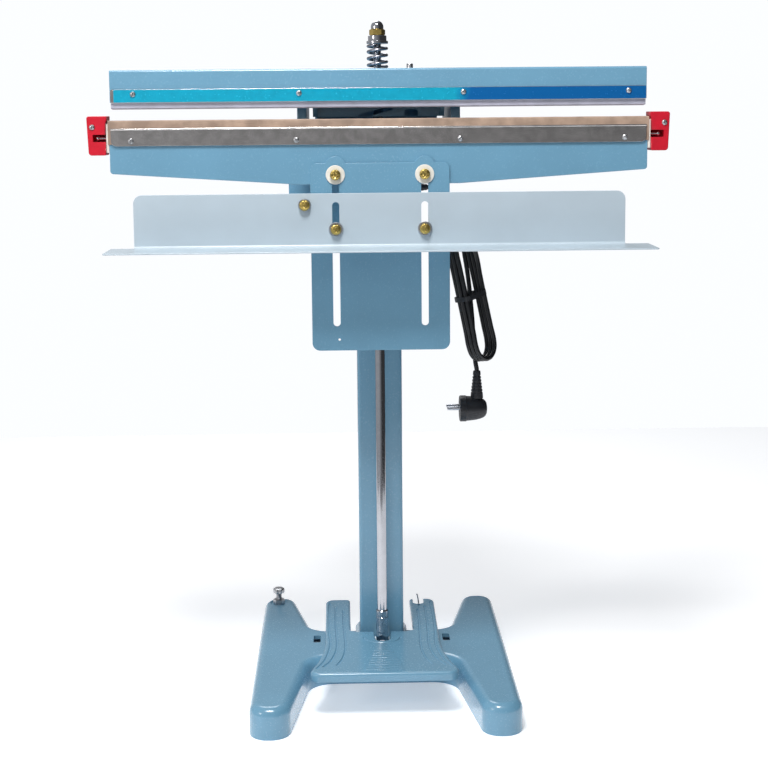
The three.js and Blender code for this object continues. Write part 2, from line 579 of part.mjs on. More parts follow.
function plateShape() {
  const body = prism("xz", rounded(
    [[-PLATE.half, PLATE.bottom, 10], [PLATE.half, PLATE.bottom, 10], [PLATE.half, PLATE.top, 8],
      [-PLATE.half, PLATE.top, 8]]), PLATE.front, PLATE.rear, [circle(1.6, -53, 483, 8)]);
  const bumps = SIDES.map(([, side]) => bar(
    "y", PLATE.bumpRadius, side * SLOT.x, PLATE.bumpZ, PLATE.front, PLATE.rear, 24));
  const slots = SIDES.map(([, side]) => prism(
    "xz", slotOutline(side * SLOT.x, SLOT.low, SLOT.high), PLATE.front - 5, PLATE.rear + 5));
  return cut(join(body, ...bumps), ...slots);
}

function tableShape() {
  const { half, shelfHalf, sheet, front, top, bottom, shelfFront } = TABLE;
  const back = front + sheet;
  const flange = prism("xz", rounded(
    [[-half, bottom + 1], [half, bottom + 1], [half, top, 11], [-half, top, 11]]), front, back, [
    slotOutline(-SLOT.x, TABLE.slotLow - 4.5, TABLE.slotHigh + 4.5),
    slotOutline(SLOT.x, TABLE.slotLow - 4.5, TABLE.slotHigh + 4.5),
    circle(3.8, TABLE.guideX, TABLE.guideZ, 12)]);
  const fold = prism("yz", rounded([
    [shelfFront, bottom], [back, bottom, 5], [back, bottom + 12], [front, bottom + 12],
    [front, bottom + sheet, 3], [shelfFront, bottom + sheet]], 4), -half, half);
  const shelf = prism(
    "xy", rectangle(-shelfHalf, shelfHalf, shelfFront, front - 4, 3), bottom, bottom + sheet);
  return join(fold, flange, shelf);
}

// a thumb screw with its washer and shank, head towards -Y; y = 0 is the clamped face
function thumbScrew(washer, shank) {
  return turned([
    [0, -shank], [3.4, -shank], [3.4, GAP], [washer, GAP], [washer, 1.6], [6.8, 1.6], [6.8, 5.4],
    [5.6, 6.8], [0, 7]], "-y", [0, 0, 0], 16);
}

add(worktop, "slotted_plate", plateShape(), ENAMEL);
add(worktop, "work_table", tableShape(), SHEET_PAINT);
for (const [name, side] of SIDES) {
  const upper = thumbScrew(11, 14);
  add(worktop, `plate_screw_${name}`, upper, BRASS, [side * SLOT.x, PLATE.front, PLATE.screwZ]);
  const lower = join(thumbScrew(9, 13), bar("y", 6.5, 0, 0, 5.4, 10, 6));
  add(worktop, `table_screw_${name}`, lower, BRASS, [side * SLOT.x, TABLE.front, TABLE.screwZ]);
}
add(worktop, "guide_screw", join(thumbScrew(8, 7), bar("y", 6, 0, 0, TABLE.sheet + GAP, 6, 6)), BRASS,
  [TABLE.guideX, TABLE.front, TABLE.guideZ]);

// ---------------------------------------------------------------- control box

const controls = section("controls");

function boxShape() {
  const { left, right, front, rear, bottom, top, wall } = BOX;
  const outside = prism("xz", rectangle(left, right, bottom, top, 4), front, rear);
  const inside = prism(
    "xz", rectangle(left + wall, right - wall, bottom + wall, top - wall, 3), front + wall, rear + 5);
  const leadHoles = [LEAD_HOLE.left, LEAD_HOLE.right].map(
    (x) => bar("z", LEAD_HOLE.radius, x, LEAD_HOLE.y, top - 5, top + 5, 12));
  return cut(outside, inside, bar("x", 6, ...PANEL.gland, right - 5, right + 5, 16), ...leadHoles);
}

const coverFront = BOX.rear + GAP;
const coverRear = coverFront + 2;
add(controls, "control_box", boxShape(), ENAMEL);
const [rockerX, rockerZ] = PANEL.rocker;
add(controls, "control_cover", prism(
  "xz", rectangle(BOX.left, BOX.right, BOX.bottom, BOX.top, 4), coverFront, coverRear, [
    circle(3.8, ...PANEL.knob, 16), circle(4.3, ...PANEL.lamp, 16),
    rectangle(...around(rockerX, 7), ...around(rockerZ, 10))]), SHEET_PAINT);
add(controls, "timer_knob", turned(
  [[0, -16], [3, -16], [3, GAP], [11, GAP], [11, 2], [9.2, 3], [8.6, 13], [7.6, 14], [0, 14]],
  "y", [PANEL.knob[0], coverRear, PANEL.knob[1]], 24), BLACK_PLASTIC);
add(controls, "switch_housing", cut(
  join(
    block(around(rockerX, 9.5), [coverRear + GAP, coverRear + 2.3], around(rockerZ, 12.5)),
    block(around(rockerX, 6.7), [coverRear - 16, coverRear + 1], around(rockerZ, 9.7))),
  block(around(rockerX, 5), [coverRear - 8, coverRear + 5], around(rockerZ, 8.5))), BLACK_PLASTIC);

// a rocker tilted on its pivot: [distance from the cover's face, height from the pivot]
const rockerProfile = [[-5, -3], [-1, -7.6], [2.2, -7.8], [2.6, 0], [4.8, 6.9], [-1, 7.6], [-5, 3]]
  .map(([y, z]) => new THREE.Vector2(coverRear + y, rockerZ + z));
add(controls, "power_switch", prism("yz", rockerProfile, ...around(rockerX, 4.6)), RED_PLASTIC);
add(controls, "indicator_lamp", turned(
  [[0, -10], [3.9, -10], [3.9, GAP], [5.5, GAP], [5.5, 1.5], [4, 4], [0, 5]],
  "y", [PANEL.lamp[0], coverRear, PANEL.lamp[1]], 16), LAMP);
add(controls, "transformer", join(
  block([-112, -64], [82, 130], [BOX.bottom + BOX.wall + GAP, 640]),
  block([-105, -71], [76, 136], [610, 634])), CORE);
add(controls, "circuit_board", join(
  block([-40, 32], [112, 113.6], [610, 680]), block([-30, -14], [113, 124], [620, 634]),
  block([4, 22], [113, 122], [648, 668])), BOARD);

// wires from the element's ends to the control box, behind the lower jaw
const LEAD_RADIUS = 1.6;
const spline = (points) =>
  new THREE.CatmullRomCurve3(points.map((p) => new THREE.Vector3(...p)), false, "centripetal");
const lead = (points) => tube(spline(points), LEAD_RADIUS, 36, 6);

add(lowerJaw, "element_lead_left", lead([
  [-329, -90, 740], [-318, -84, 738], [-300, -72, 733], [-280, -63, 722], [-220, -60, 716], [-140, -60, 714],
  [-118, -50, 713], [-111, -20, 712], [-110, 50, 712], [-109, 88, 710], [-104, 106, 704],
  [-100, 110, 690]]), WIRE);
add(lowerJaw, "element_lead_right", lead([
  [329, -90, 740], [318, -84, 738], [300, -72, 733], [280, -63, 722], [220, -60, 716], [140, -60, 714],
  [118, -50, 713], [111, -20, 712], [110, 50, 712], [108, 88, 711], [92, 107, 710], [50, 110, 709],
  [30, 110, 707], [21, 110, 702], [20, 110, 696], [20, 110, 690]]), WIRE);

// ---------------------------------------------------------------- mains lead

const mainsLead = section("mains_lead");
const gland = { x: BOX.right, y: PANEL.gland[0], z: PANEL.gland[1] };

add(mainsLead, "cord_gland", cut(
  turned([[0, -6], [5.5, -6], [5.5, GAP], [10, GAP], [10, 6], [7.5, 8], [6.5, 18], [4.6, 30],
    [0, 30]],
    "x", [gland.x, gland.y, gland.z], 16),
  bar("x", CORD.radius + GAP, gland.y, gland.z, gland.x - 20, gland.x + 35, 12)), BLACK_PLASTIC);

// the hanging hank: seven runs of the lead folded together and tied
function hankShape(grow = 0) {
  const [x0, z0] = HANK.top;
  const [x1, z1] = HANK.bottom;
  const length = Math.hypot(x1 - x0, z1 - z0);
  const lean = Math.atan2(x1 - x0, z0 - z1);
  const half = HANK.width / 2 + grow;
  const depth = HANK.thick + 2 * grow;
  const outline = rounded([
    [-half, -length - grow, half - 0.1], [half, -length - grow, half - 0.1], [half, grow, half - 0.1],
    [-half, grow, half - 0.1]], 5);
  const shape = new THREE.ExtrudeGeometry(new THREE.Shape(outline), { depth, bevelEnabled: false });
  shape.translate(0, 0, -depth / 2);
  shape.applyMatrix4(PLANES.xz);
  shape.rotateZ(HANK.turn);
  shape.rotateY(-lean);
  shape.translate(x0, CORD.y, z0);
  return solid(shape);
}

const leadRoute = [
  [30, 100, 665], [60, 100, 665], [76, 100, 664.5], [90, 99, 660], [101, 97.5, 650], [108, 96, 636],
  [111.5, CORD.y, 620], [112.5, CORD.y, 604], [113, CORD.y, 590]];
const tailRoute = [[139, CORD.y, 450], [139.5, CORD.y, 425], [139.5, CORD.y, 405.5]];
add(mainsLead, "cord_hank", hankShape(), BLACK_PLASTIC);
add(mainsLead, "cord_lead", cut(tube(spline(leadRoute), CORD.radius, 16, 8), hankShape(GAP)), BLACK_PLASTIC);
add(mainsLead, "cord_tail", cut(tube(spline(tailRoute), CORD.radius, 6, 8), hankShape(GAP)), BLACK_PLASTIC);

// angled plug: the lead comes in from above, the pins point to -X
function plugShape() {
  const { neckTop, neckBottom, bodyX, bodyZ, pinZ, pinSpread } = PLUG;
  const neck = turned(
    [[0, neckBottom], [9, neckBottom], [7.6, neckBottom + 12], [5.2, neckTop], [0, neckTop]],
    "z", [PLUG.x, CORD.y, 0], 16);
  const body = turned(
    [[0, 0], [18.5, 0], [18.5, 9], [16, 24], [13, 34], [8, 38], [0, 39]], "x", [bodyX, CORD.y, bodyZ], 24);
  const pins = SIDES.map(([, side]) => turned(
    [[0, 0], [2.4, 0], [2.4, 17.5], [1.4, 19], [0, 19]],
    "-x", [bodyX + 0.5, CORD.y + side * pinSpread, pinZ], 12));
  return join(body, neck, ...pins);
}

add(mainsLead, "plug", plugShape(), BLACK_PLASTIC);

export default machine;
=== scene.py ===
import math

import bmesh
import bpy
from mathutils import Matrix, Vector


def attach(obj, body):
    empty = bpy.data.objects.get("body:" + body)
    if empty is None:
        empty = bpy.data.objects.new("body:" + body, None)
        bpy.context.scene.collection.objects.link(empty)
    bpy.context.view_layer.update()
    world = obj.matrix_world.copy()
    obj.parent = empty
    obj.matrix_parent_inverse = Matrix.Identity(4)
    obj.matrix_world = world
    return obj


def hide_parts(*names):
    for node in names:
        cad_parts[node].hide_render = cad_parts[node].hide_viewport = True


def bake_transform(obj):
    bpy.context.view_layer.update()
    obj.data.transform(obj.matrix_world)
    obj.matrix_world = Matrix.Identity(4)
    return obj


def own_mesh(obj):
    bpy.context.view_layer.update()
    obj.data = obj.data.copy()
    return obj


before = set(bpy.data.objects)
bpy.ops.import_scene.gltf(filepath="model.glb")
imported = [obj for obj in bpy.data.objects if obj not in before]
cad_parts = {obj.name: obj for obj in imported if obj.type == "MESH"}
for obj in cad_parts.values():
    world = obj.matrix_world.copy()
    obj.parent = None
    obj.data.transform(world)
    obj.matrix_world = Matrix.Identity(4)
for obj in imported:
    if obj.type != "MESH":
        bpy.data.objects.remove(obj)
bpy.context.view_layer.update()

bl_info = {
    "name": "Impulse sealer",
    "version": (1, 0, 0),
    "blender": (4, 5, 0),
    "location": "3D View > Sidebar > Sealer",
    "description": "Builds a foot-pedal impulse heat sealer, piece by piece",
    "category": "Object",
}

MM = 0.001

# ---------------------------------------------------------------- sizes, in millimetres

ROD_Y = -17
HINGE = Vector((0, 50, 26))
PEDAL_TOP = 60.5
PEDAL_RIBS = 9
BASE_TOP = 40
LEVELLER = (-150, 184, 0)
ARM_SHAFT = (0, 80, 790)
SLOT_X = 56
HANK_TOP = Vector((112, 95, 602))
HANK_FOOT = Vector((150, 95, 419))
HANK_TURN = math.radians(50)
HANK_REACH = 19.8
HANK_STEP = 3.25
GLAND = (41, 100, 665)
CORD_DIAMETER = 6.5
PLUG_AXIS = (139.5, 95)
COVER_REAR = 152.3

# ---------------------------------------------------------------- outlines


def rounded(corners, steps=8):
    """Corners (u, v, radius) as points, each corner rounded by its radius."""
    points = []
    for i, corner in enumerate(corners):
        here = Vector(corner[:2])
        radius = corner[2] if len(corner) > 2 else 0
        if not radius:
            points.append(here)
            continue
        back = (Vector(corners[i - 1][:2]) - here).normalized()
        ahead = (Vector(corners[(i + 1) % len(corners)][:2]) - here).normalized()
        half = math.acos(max(-1, min(1, back.dot(ahead)))) / 2
        if half > math.radians(89.5):
            points.append(here)
            continue
        centre = here + (back + ahead).normalized() * (radius / math.sin(half))
        start = here + back * (radius / math.tan(half)) - centre
        end = here + ahead * (radius / math.tan(half)) - centre
        turn = math.atan2(start.x * end.y - start.y * end.x, start.dot(end))
        count = max(2, math.ceil(abs(turn) / (math.pi / 2) * steps))
        for k in range(count + 1):
            angle = turn * k / count
            c, s = math.cos(angle), math.sin(angle)
            points.append(centre + Vector((start.x * c - start.y * s, start.x * s + start.y * c)))
    return points


def circle(radius, u=0, v=0, sides=48):
    turns = (2 * math.pi * i / sides for i in range(sides))
    return [Vector((u + radius * math.cos(a), v + radius * math.sin(a))) for a in turns]


def rectangle(u0, u1, v0, v1, radius=0, steps=8):
    return rounded([(u0, v0, radius), (u1, v0, radius), (u1, v1, radius), (u0, v1, radius)], steps)


def mirrored(corners):
    """The outline whose other half is the same on the far side of u = 0."""
    return list(corners) + [(-c[0], *c[1:]) for c in reversed(corners)]


def anticlockwise(outline):
    area = sum(a.x * b.y - b.x * a.y for a, b in zip(outline, outline[1:] + outline[:1]))
    return outline if area > 0 else outline[::-1]


def inset(outline, distance):
    """The outline moved inward all round, mitred at its corners."""
    moved = []
    count = len(outline)
    for i, here in enumerate(outline):
        before = (here - outline[i - 1]).normalized()
        after = (outline[(i + 1) % count] - here).normalized()
        left_before, left_after = Vector((-before.y, before.x)), Vector((-after.y, after.x))
        share = 1 + left_before.dot(left_after)
        moved.append(here + (left_before + left_after) * (distance / max(share, 0.3)))
    return moved


def in_space(plane, point, height):
    """A plane's (u, v) and its height as a point in space, in metres."""
    u, v = point
    place = {"xy": (u, v, height), "xz": (u, height, v), "yz": (height, u, v)}[plane]
    return Vector(place) * MM


# ---------------------------------------------------------------- meshes


def piece_from(bm, name, smooth=35):
    """A mesh object at the origin, faces out, with soft edges under the smooth angle."""
    bmesh.ops.remove_doubles(bm, verts=bm.verts, dist=1e-6)
    bmesh.ops.recalc_face_normals(bm, faces=bm.faces)
    mesh = bpy.data.meshes.new(name)
    bm.to_mesh(mesh)
    bm.free()
    piece = bpy.data.objects.new(name, mesh)
    bpy.context.scene.collection.objects.link(piece)
    soften(mesh, smooth)
    return piece


def soften(mesh, smooth=35):
    mesh.shade_smooth()
    mesh.set_sharp_from_angle(angle=math.radians(smooth))


def baked(piece):
    """The piece's modifiers become its mesh."""
    graph = bpy.context.evaluated_depsgraph_get()
    mesh = bpy.data.meshes.new_from_object(piece.evaluated_get(graph))
    piece.modifiers.clear()
    piece.data = mesh
    return piece


def even_normals(piece, smooth=35):
    """Flat faces shade flat, and the roundings beside them shade round."""
    soften(piece.data, smooth)
    modifier = piece.modifiers.new("normals", "WEIGHTED_NORMAL")
    modifier.keep_sharp = True
    modifier.weight = 100
    return baked(piece)


def combine(piece, others, operation):
    """Others are cut from the piece or joined to it, and are used up."""
    for other in others:
        modifier = piece.modifiers.new("combine", "BOOLEAN")
        modifier.operation = operation
        modifier.solver = "MANIFOLD"
        modifier.object = other
    baked(piece)
    for other in others:
        bpy.data.objects.remove(other)
    return even_normals(piece)


def cut(piece, *others):
    return combine(piece, others, "DIFFERENCE")


def join(piece, *others):
    return combine(piece, others, "UNION")


def stack(name, plane, outline, profile):
    """Rings of an outline, each (inset, height), skinned and closed at both ends."""
    outline = anticlockwise(outline)
    bm = bmesh.new()
    rings = [
        [bm.verts.new(in_space(plane, point, height)) for point in inset(outline, distance)]
        for distance, height in profile
    ]
    for low, high in zip(rings, rings[1:]):
        for i in range(len(low)):
            k = (i + 1) % len(low)
            bm.faces.new((low[i], low[k], high[k], high[i]))
    bm.faces.new(rings[0])
    bm.faces.new(rings[-1])
    return piece_from(bm, name)


def edge_rings(low, high, edge, steps=4):
    """The profile of a slab from low to high whose edges are rounded by edge."""
    if not edge:
        return [(0, low), (0, high)]
    turns = [math.pi / 2 * k / steps for k in range(steps + 1)]
    foot = [(edge * (1 - math.sin(a)), low + edge * (1 - math.cos(a))) for a in turns]
    head = [(edge * (1 - math.cos(a)), high - edge * (1 - math.sin(a))) for a in turns]
    return foot + head


def slab(name, plane, outline, low, high, edge=0.5, steps=4):
    """An outline from low to high with rounded edges."""
    return even_normals(stack(name, plane, outline, edge_rings(low, high, edge, steps)))


def block(name, x, y, z, edge=0.4):
    return slab(name, "xy", rectangle(*x, *y, edge, 3), *z, edge, 3)


AXES = {"x": Vector((1, 0, 0)), "y": Vector((0, 1, 0)), "z": Vector((0, 0, 1))}


def lathe(name, profile, axis, centre, sides=64, flutes=0, depth=0, fluted=(), ring=False):
    """A profile (radius, height) turned about an axis; a ring's profile closes on itself.

    The fluted profile points are grooved all round."""
    sign = -1 if axis.startswith("-") else 1
    turn = Vector((0, 0, 1)).rotation_difference(AXES[axis[-1]] * sign).to_matrix()
    bm = bmesh.new()
    rings = []
    for row, (radius, height) in enumerate(profile):
        if radius < 1e-6:
            rings.append([bm.verts.new((turn @ Vector((0, 0, height)) + Vector(centre)) * MM)])
            continue
        ring_verts = []
        for i in range(sides):
            a = 2 * math.pi * i / sides
            grooved = depth * (0.5 - 0.5 * math.cos(flutes * a)) if row in fluted else 0
            r = radius - grooved
            point = turn @ Vector((r * math.cos(a), r * math.sin(a), height)) + Vector(centre)
            ring_verts.append(bm.verts.new(point * MM))
        rings.append(ring_verts)
    for low, high in zip(rings, rings[1:] + (rings[:1] if ring else [])):
        for i in range(sides):
            k = (i + 1) % sides
            corners = [low[i % len(low)], low[k % len(low)], high[k % len(high)], high[i % len(high)]]
            corners = list(dict.fromkeys(corners))
            if len(corners) > 2:
                bm.faces.new(corners)
    for end in (rings[0], rings[-1]):
        if len(end) > 1 and not ring:
            bm.faces.new(end)
    return piece_from(bm, name, 30)


def bar(name, axis, radius, centre, low, high, edge=0.4, sides=48):
    """A plain pin, or a cutter for a round hole."""
    profile = [(0, low), (radius - edge, low), (radius, low + edge)]
    profile += [(radius, high - edge), (radius - edge, high), (0, high)]
    return lathe(name, profile, axis, centre, sides)


def hexagon(name, across, hole, low, high, centre):
    """A hexagon nut about Z with turned-off corners."""
    radius = across / math.sqrt(3)
    chamfer = radius - across / 2
    body = stack(name, "xy", circle(radius, *centre, 6), [(0, low), (0, high)])
    disc = lathe("disc", [
        (0, low), (across / 2 - 0.2, low), (radius, low + chamfer * 0.6),
        (radius, high - chamfer * 0.6), (across / 2 - 0.2, high), (0, high)], "z", (*centre, 0))
    combine(body, [disc], "INTERSECT")
    return cut(body, bar("bore", "z", hole, (*centre, 0), low - 2, high + 2, 0))


def thread(radius, low, high, pitch, depth):
    """The profile points of a screw thread's crests and roots."""
    points = []
    count = int((high - low) / pitch)
    for i in range(count):
        z = low + pitch * i
        points += [(radius - depth, z), (radius, z + pitch * 0.4), (radius, z + pitch * 0.6)]
    return points + [(radius - depth, high)]


def catmull(points, steps=12):
    """A smooth line through the points."""
    ends = [points[0] * 2 - points[1], *points, points[-1] * 2 - points[-2]]
    line = []
    for a, b, c, d in zip(ends, ends[1:], ends[2:], ends[3:]):
        for k in range(steps):
            t = k / steps
            line.append(0.5 * (
                b * 2 + (c - a) * t + (a * 2 - b * 5 + c * 4 - d) * t * t
                + (b * 3 - a - c * 3 + d) * t * t * t))
    return [*line, points[-1]]


def tube(name, line, radius, sides=16):
    """A round wire along a line of points, with domed ends."""
    bm = bmesh.new()
    normal = (line[1] - line[0]).orthogonal().normalized()
    rings = []
    for i, here in enumerate(line):
        ahead = line[min(i + 1, len(line) - 1)] - line[max(i - 1, 0)]
        along = ahead.normalized()
        normal = (normal - along * normal.dot(along)).normalized()
        across = along.cross(normal)
        sizes = [(radius, 0)]
        if i == 0:
            sizes = [(radius * 0.6, -0.35 * radius), (radius, 0.1 * radius)]
        if i == len(line) - 1:
            sizes = [(radius, -0.1 * radius), (radius * 0.6, 0.35 * radius)]
        for size, offset in sizes:
            ring = []
            for k in range(sides):
                a = 2 * math.pi * k / sides
                spoke = normal * math.cos(a) + across * math.sin(a)
                ring.append(bm.verts.new((here + along * offset + spoke * size) * MM))
            rings.append(ring)
    for low, high in zip(rings, rings[1:]):
        for i in range(sides):
            k = (i + 1) % sides
            bm.faces.new((low[i], low[k], high[k], high[i]))
    bm.faces.new(rings[0])
    bm.faces.new(rings[-1])
    return piece_from(bm, name, 60)


def helix(radius, low, high, turns, wire=0.0, closed=0.0, per_turn=32):
    """Points of a coil spring between two points; its closed end turns rise by only the wire."""
    span = (high - low).length
    along = (high - low).normalized()
    turn = Vector((0, 0, 1)).rotation_difference(along).to_matrix()
    pitch = (span - 2 * closed * wire) / (turns - 2 * closed)
    line = []
    for i in range(int(turns * per_turn) + 1):
        gone = i / per_turn
        first = min(gone, closed)
        last = max(0, gone - (turns - closed))
        rise = (first + last) * wire + (gone - first - last) * pitch
        a = 2 * math.pi * gone
        spoke = turn @ Vector((radius * math.cos(a), radius * math.sin(a), 0))
        line.append(low + along * rise + spoke)
    return line


def refined(node, edge=0.6, segments=3, limit=40):
    """A CAD node's shape with rounded edges."""
    bm = bmesh.new()
    bm.from_mesh(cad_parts[node].data)
    bmesh.ops.remove_doubles(bm, verts=bm.verts, dist=1e-6)
    bmesh.ops.dissolve_limit(bm, angle_limit=math.radians(1), verts=bm.verts, edges=bm.edges)
    piece = piece_from(bm, node + "_body")
    modifier = piece.modifiers.new("edges", "BEVEL")
    modifier.width = edge * MM
    modifier.segments = segments
    modifier.limit_method = "ANGLE"
    modifier.angle_limit = math.radians(limit)
    modifier.use_clamp_overlap = True
    baked(piece)
    return even_normals(piece)


def place(piece, body, material, slot, *nodes):
    """The piece gets its finish, rides on its body and stands for its CAD nodes."""
    piece.data.materials.clear()
    piece.data.materials.append(material)
    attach(piece, body)
    if nodes:
        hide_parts(*nodes)
    return piece


# ---------------------------------------------------------------- node trees


def add(tree, kind, inputs=None, **settings):
    """A node with its settings, and its inputs by name or number: values or other nodes' outputs."""
    node = tree.nodes.new(kind)
    for key, value in settings.items():
        setattr(node, key, value)
    for key, value in (inputs or {}).items():
        if isinstance(value, bpy.types.NodeSocket):
            tree.links.new(value, node.inputs[key])
        else:
            node.inputs[key].default_value = value
    return node


def repeat_tree():
    """Geometry Nodes: a copy of a piece on each point, stretched by the point and turned by chance."""
    tree = bpy.data.node_groups.new("repeat_on_points", "GeometryNodeTree")
    for name, kind in (
        ("Points", "NodeSocketGeometry"), ("Piece", "NodeSocketObject"), ("Turn", "NodeSocketFloat"),
        ("Seed", "NodeSocketInt"), ("Finish", "NodeSocketMaterial"),
    ):
        tree.interface.new_socket(name, in_out="INPUT", socket_type=kind)
    tree.interface.new_socket("Mesh", in_out="OUTPUT", socket_type="NodeSocketGeometry")
    given = add(tree, "NodeGroupInput").outputs
    source = add(tree, "GeometryNodeObjectInfo", {"Object": given["Piece"]})
    chance = add(tree, "FunctionNodeRandomValue", data_type="FLOAT")
    tree.links.new(given["Turn"], chance.inputs[3])
    tree.links.new(given["Seed"], chance.inputs["Seed"])
    turn = add(tree, "ShaderNodeCombineXYZ", {"Y": chance.outputs[1]})
    rotation = add(tree, "FunctionNodeEulerToRotation", {"Euler": turn.outputs[0]})
    stretch = add(tree, "GeometryNodeInputNamedAttribute", {"Name": "stretch"}, data_type="FLOAT_VECTOR")
    copies = add(tree, "GeometryNodeInstanceOnPoints", {
        "Points": given["Points"], "Instance": source.outputs["Geometry"],
        "Rotation": rotation.outputs[0], "Scale": stretch.outputs[0]})
    real = add(tree, "GeometryNodeRealizeInstances", {"Geometry": copies.outputs[0]})
    painted = add(tree, "GeometryNodeSetMaterial", {
        "Geometry": real.outputs[0], "Material": given["Finish"]})
    add(tree, "NodeGroupOutput", {"Mesh": painted.outputs[0]})
    return tree


def repeated(name, piece, points, material, turn=0.0, seed=7, stretch=None):
    """One mesh of copies of a piece at the points, made by Geometry Nodes; the piece is used up."""
    mesh = bpy.data.meshes.new(name)
    mesh.from_pydata([Vector(p) * MM for p in points], [], [])
    attribute = mesh.attributes.new("stretch", "FLOAT_VECTOR", "POINT")
    for i in range(len(points)):
        attribute.data[i].vector = stretch[i] if stretch else (1, 1, 1)
    target = bpy.data.objects.new(name, mesh)
    bpy.context.scene.collection.objects.link(target)
    modifier = target.modifiers.new("copies", "NODES")
    tree = bpy.data.node_groups.get("repeat_on_points") or repeat_tree()
    modifier.node_group = tree
    values = {"Piece": piece, "Turn": float(turn), "Seed": seed, "Finish": material}
    for item in tree.interface.items_tree:
        if item.item_type == "SOCKET" and item.in_out == "INPUT" and item.name in values:
            modifier[item.identifier] = values[item.name]
    baked(target)
    bpy.data.objects.remove(piece)
    return target


# ---------------------------------------------------------------- finishes


def linear(code):
    """An sRGB hex colour as linear RGBA."""
    parts = [int(code[i:i + 2], 16) / 255 for i in (1, 3, 5)]
    return (*[c / 12.92 if c <= 0.04045 else ((c + 0.055) / 1.055) ** 2.4 for c in parts], 1.0)


def coordinates(tree, stretch=(1, 1, 1)):
    """Object coordinates, squeezed along an axis where a grain runs along it."""
    place_in = add(tree, "ShaderNodeTexCoord").outputs["Object"]
    return add(tree, "ShaderNodeMapping", {"Vector": place_in, "Scale": stretch}).outputs[0]


def noise(tree, where, size, detail=3.0, roughness=0.5):
    """Noise whose features are about size millimetres."""
    return add(tree, "ShaderNodeTexNoise", {
        "Vector": where, "Scale": 1 / (size * MM), "Detail": detail, "Roughness": roughness}).outputs[0]


def blended(tree, factor, low, high, start=0.35, end=0.65):
    """A colour between two shades, by a factor spread over start to end."""
    ramp = add(tree, "ShaderNodeValToRGB", {0: factor})
    ramp.color_ramp.elements[0].position = start
    ramp.color_ramp.elements[0].color = low
    ramp.color_ramp.elements[1].position = end
    ramp.color_ramp.elements[1].color = high
    return ramp.outputs[0]


def ranged(tree, factor, low, high):
    return add(tree, "ShaderNodeMapRange", {
        "Value": factor, "From Min": 0.3, "From Max": 0.7, "To Min": low, "To Max": high}).outputs[0]


def finish(name, shades, roughness, blotch=25, grain=0.8, relief=0.02, stretch=(1, 1, 1), **shader):
    """A node material: two shades in blotches, roughness that varies, and fine relief in millimetres.

    shader holds the Principled sockets that are the same all over."""
    material = bpy.data.materials.new(name)
    material.use_nodes = True
    tree = material.node_tree
    principled = tree.nodes["Principled BSDF"]
    blotches = noise(tree, coordinates(tree), blotch)
    fine = noise(tree, coordinates(tree, stretch), grain, 2.0)
    links = tree.links
    links.new(blended(tree, blotches, *shades), principled.inputs["Base Color"])
    links.new(ranged(tree, fine, *roughness), principled.inputs["Roughness"])
    bump = add(tree, "ShaderNodeBump", {"Height": fine, "Distance": relief * MM, "Strength": 1.0})
    links.new(bump.outputs[0], principled.inputs["Normal"])
    for socket, value in shader.items():
        principled.inputs[socket.replace("_", " ")].default_value = value
    return material


def shaded(colour, darker=0.82):
    """A colour and a darker shade of it."""
    low = tuple(c * darker for c in colour[:3])
    return (*low, 1.0), (*colour[:3], 1.0)


def enamel(name, colour):
    # stoved gloss enamel: smooth with a faint orange peel, and blotchy by a shade
    return finish(
        name, shaded(colour, 0.95), (0.24, 0.28), blotch=60, grain=2.2, relief=0.002,
        Coat_Weight=0.5, Coat_Roughness=0.12)


def sheet_paint(name, colour):
    # paler, silkier paint on sheet steel
    return finish(
        name, shaded(colour, 0.93), (0.28, 0.38), blotch=80, grain=1.6, relief=0.002,
        Coat_Weight=0.25, Coat_Roughness=0.2)


def metal(name, colour, roughness, grain=0.5, relief=0.01, stretch=(1, 1, 1), darker=0.8):
    return finish(name, shaded(colour, darker), roughness, 12, grain, relief, stretch, Metallic=1.0)


def plastic(name, colour, roughness=(0.35, 0.5), grain=0.6, relief=0.03, darker=0.85, **shader):
    return finish(name, shaded(colour, darker), roughness, 18, grain, relief, **shader)


def woven(name, colour):
    # glass cloth in brown PTFE: a fine square weave under a waxy film, scorched in patches
    material = finish(name, shaded(colour, 0.62), (0.38, 0.55), blotch=22, grain=1.2, relief=0.02)
    tree = material.node_tree
    where = coordinates(tree)
    waves = []
    for direction in ("X", "Z"):
        wave = add(tree, "ShaderNodeTexWave", {"Vector": where, "Scale": 1 / (6.28 * 0.5 * MM)})
        wave.bands_direction = direction
        waves.append(wave.outputs["Fac"])
    weave = add(tree, "ShaderNodeMath", {0: waves[0], 1: waves[1]}, operation="MULTIPLY").outputs[0]
    bump = add(tree, "ShaderNodeBump", {"Height": weave, "Distance": 0.04 * MM})
    old = next(n for n in tree.nodes if n.type == "BUMP" and n != bump)
    tree.links.new(bump.outputs[0], old.inputs["Normal"])
    return material


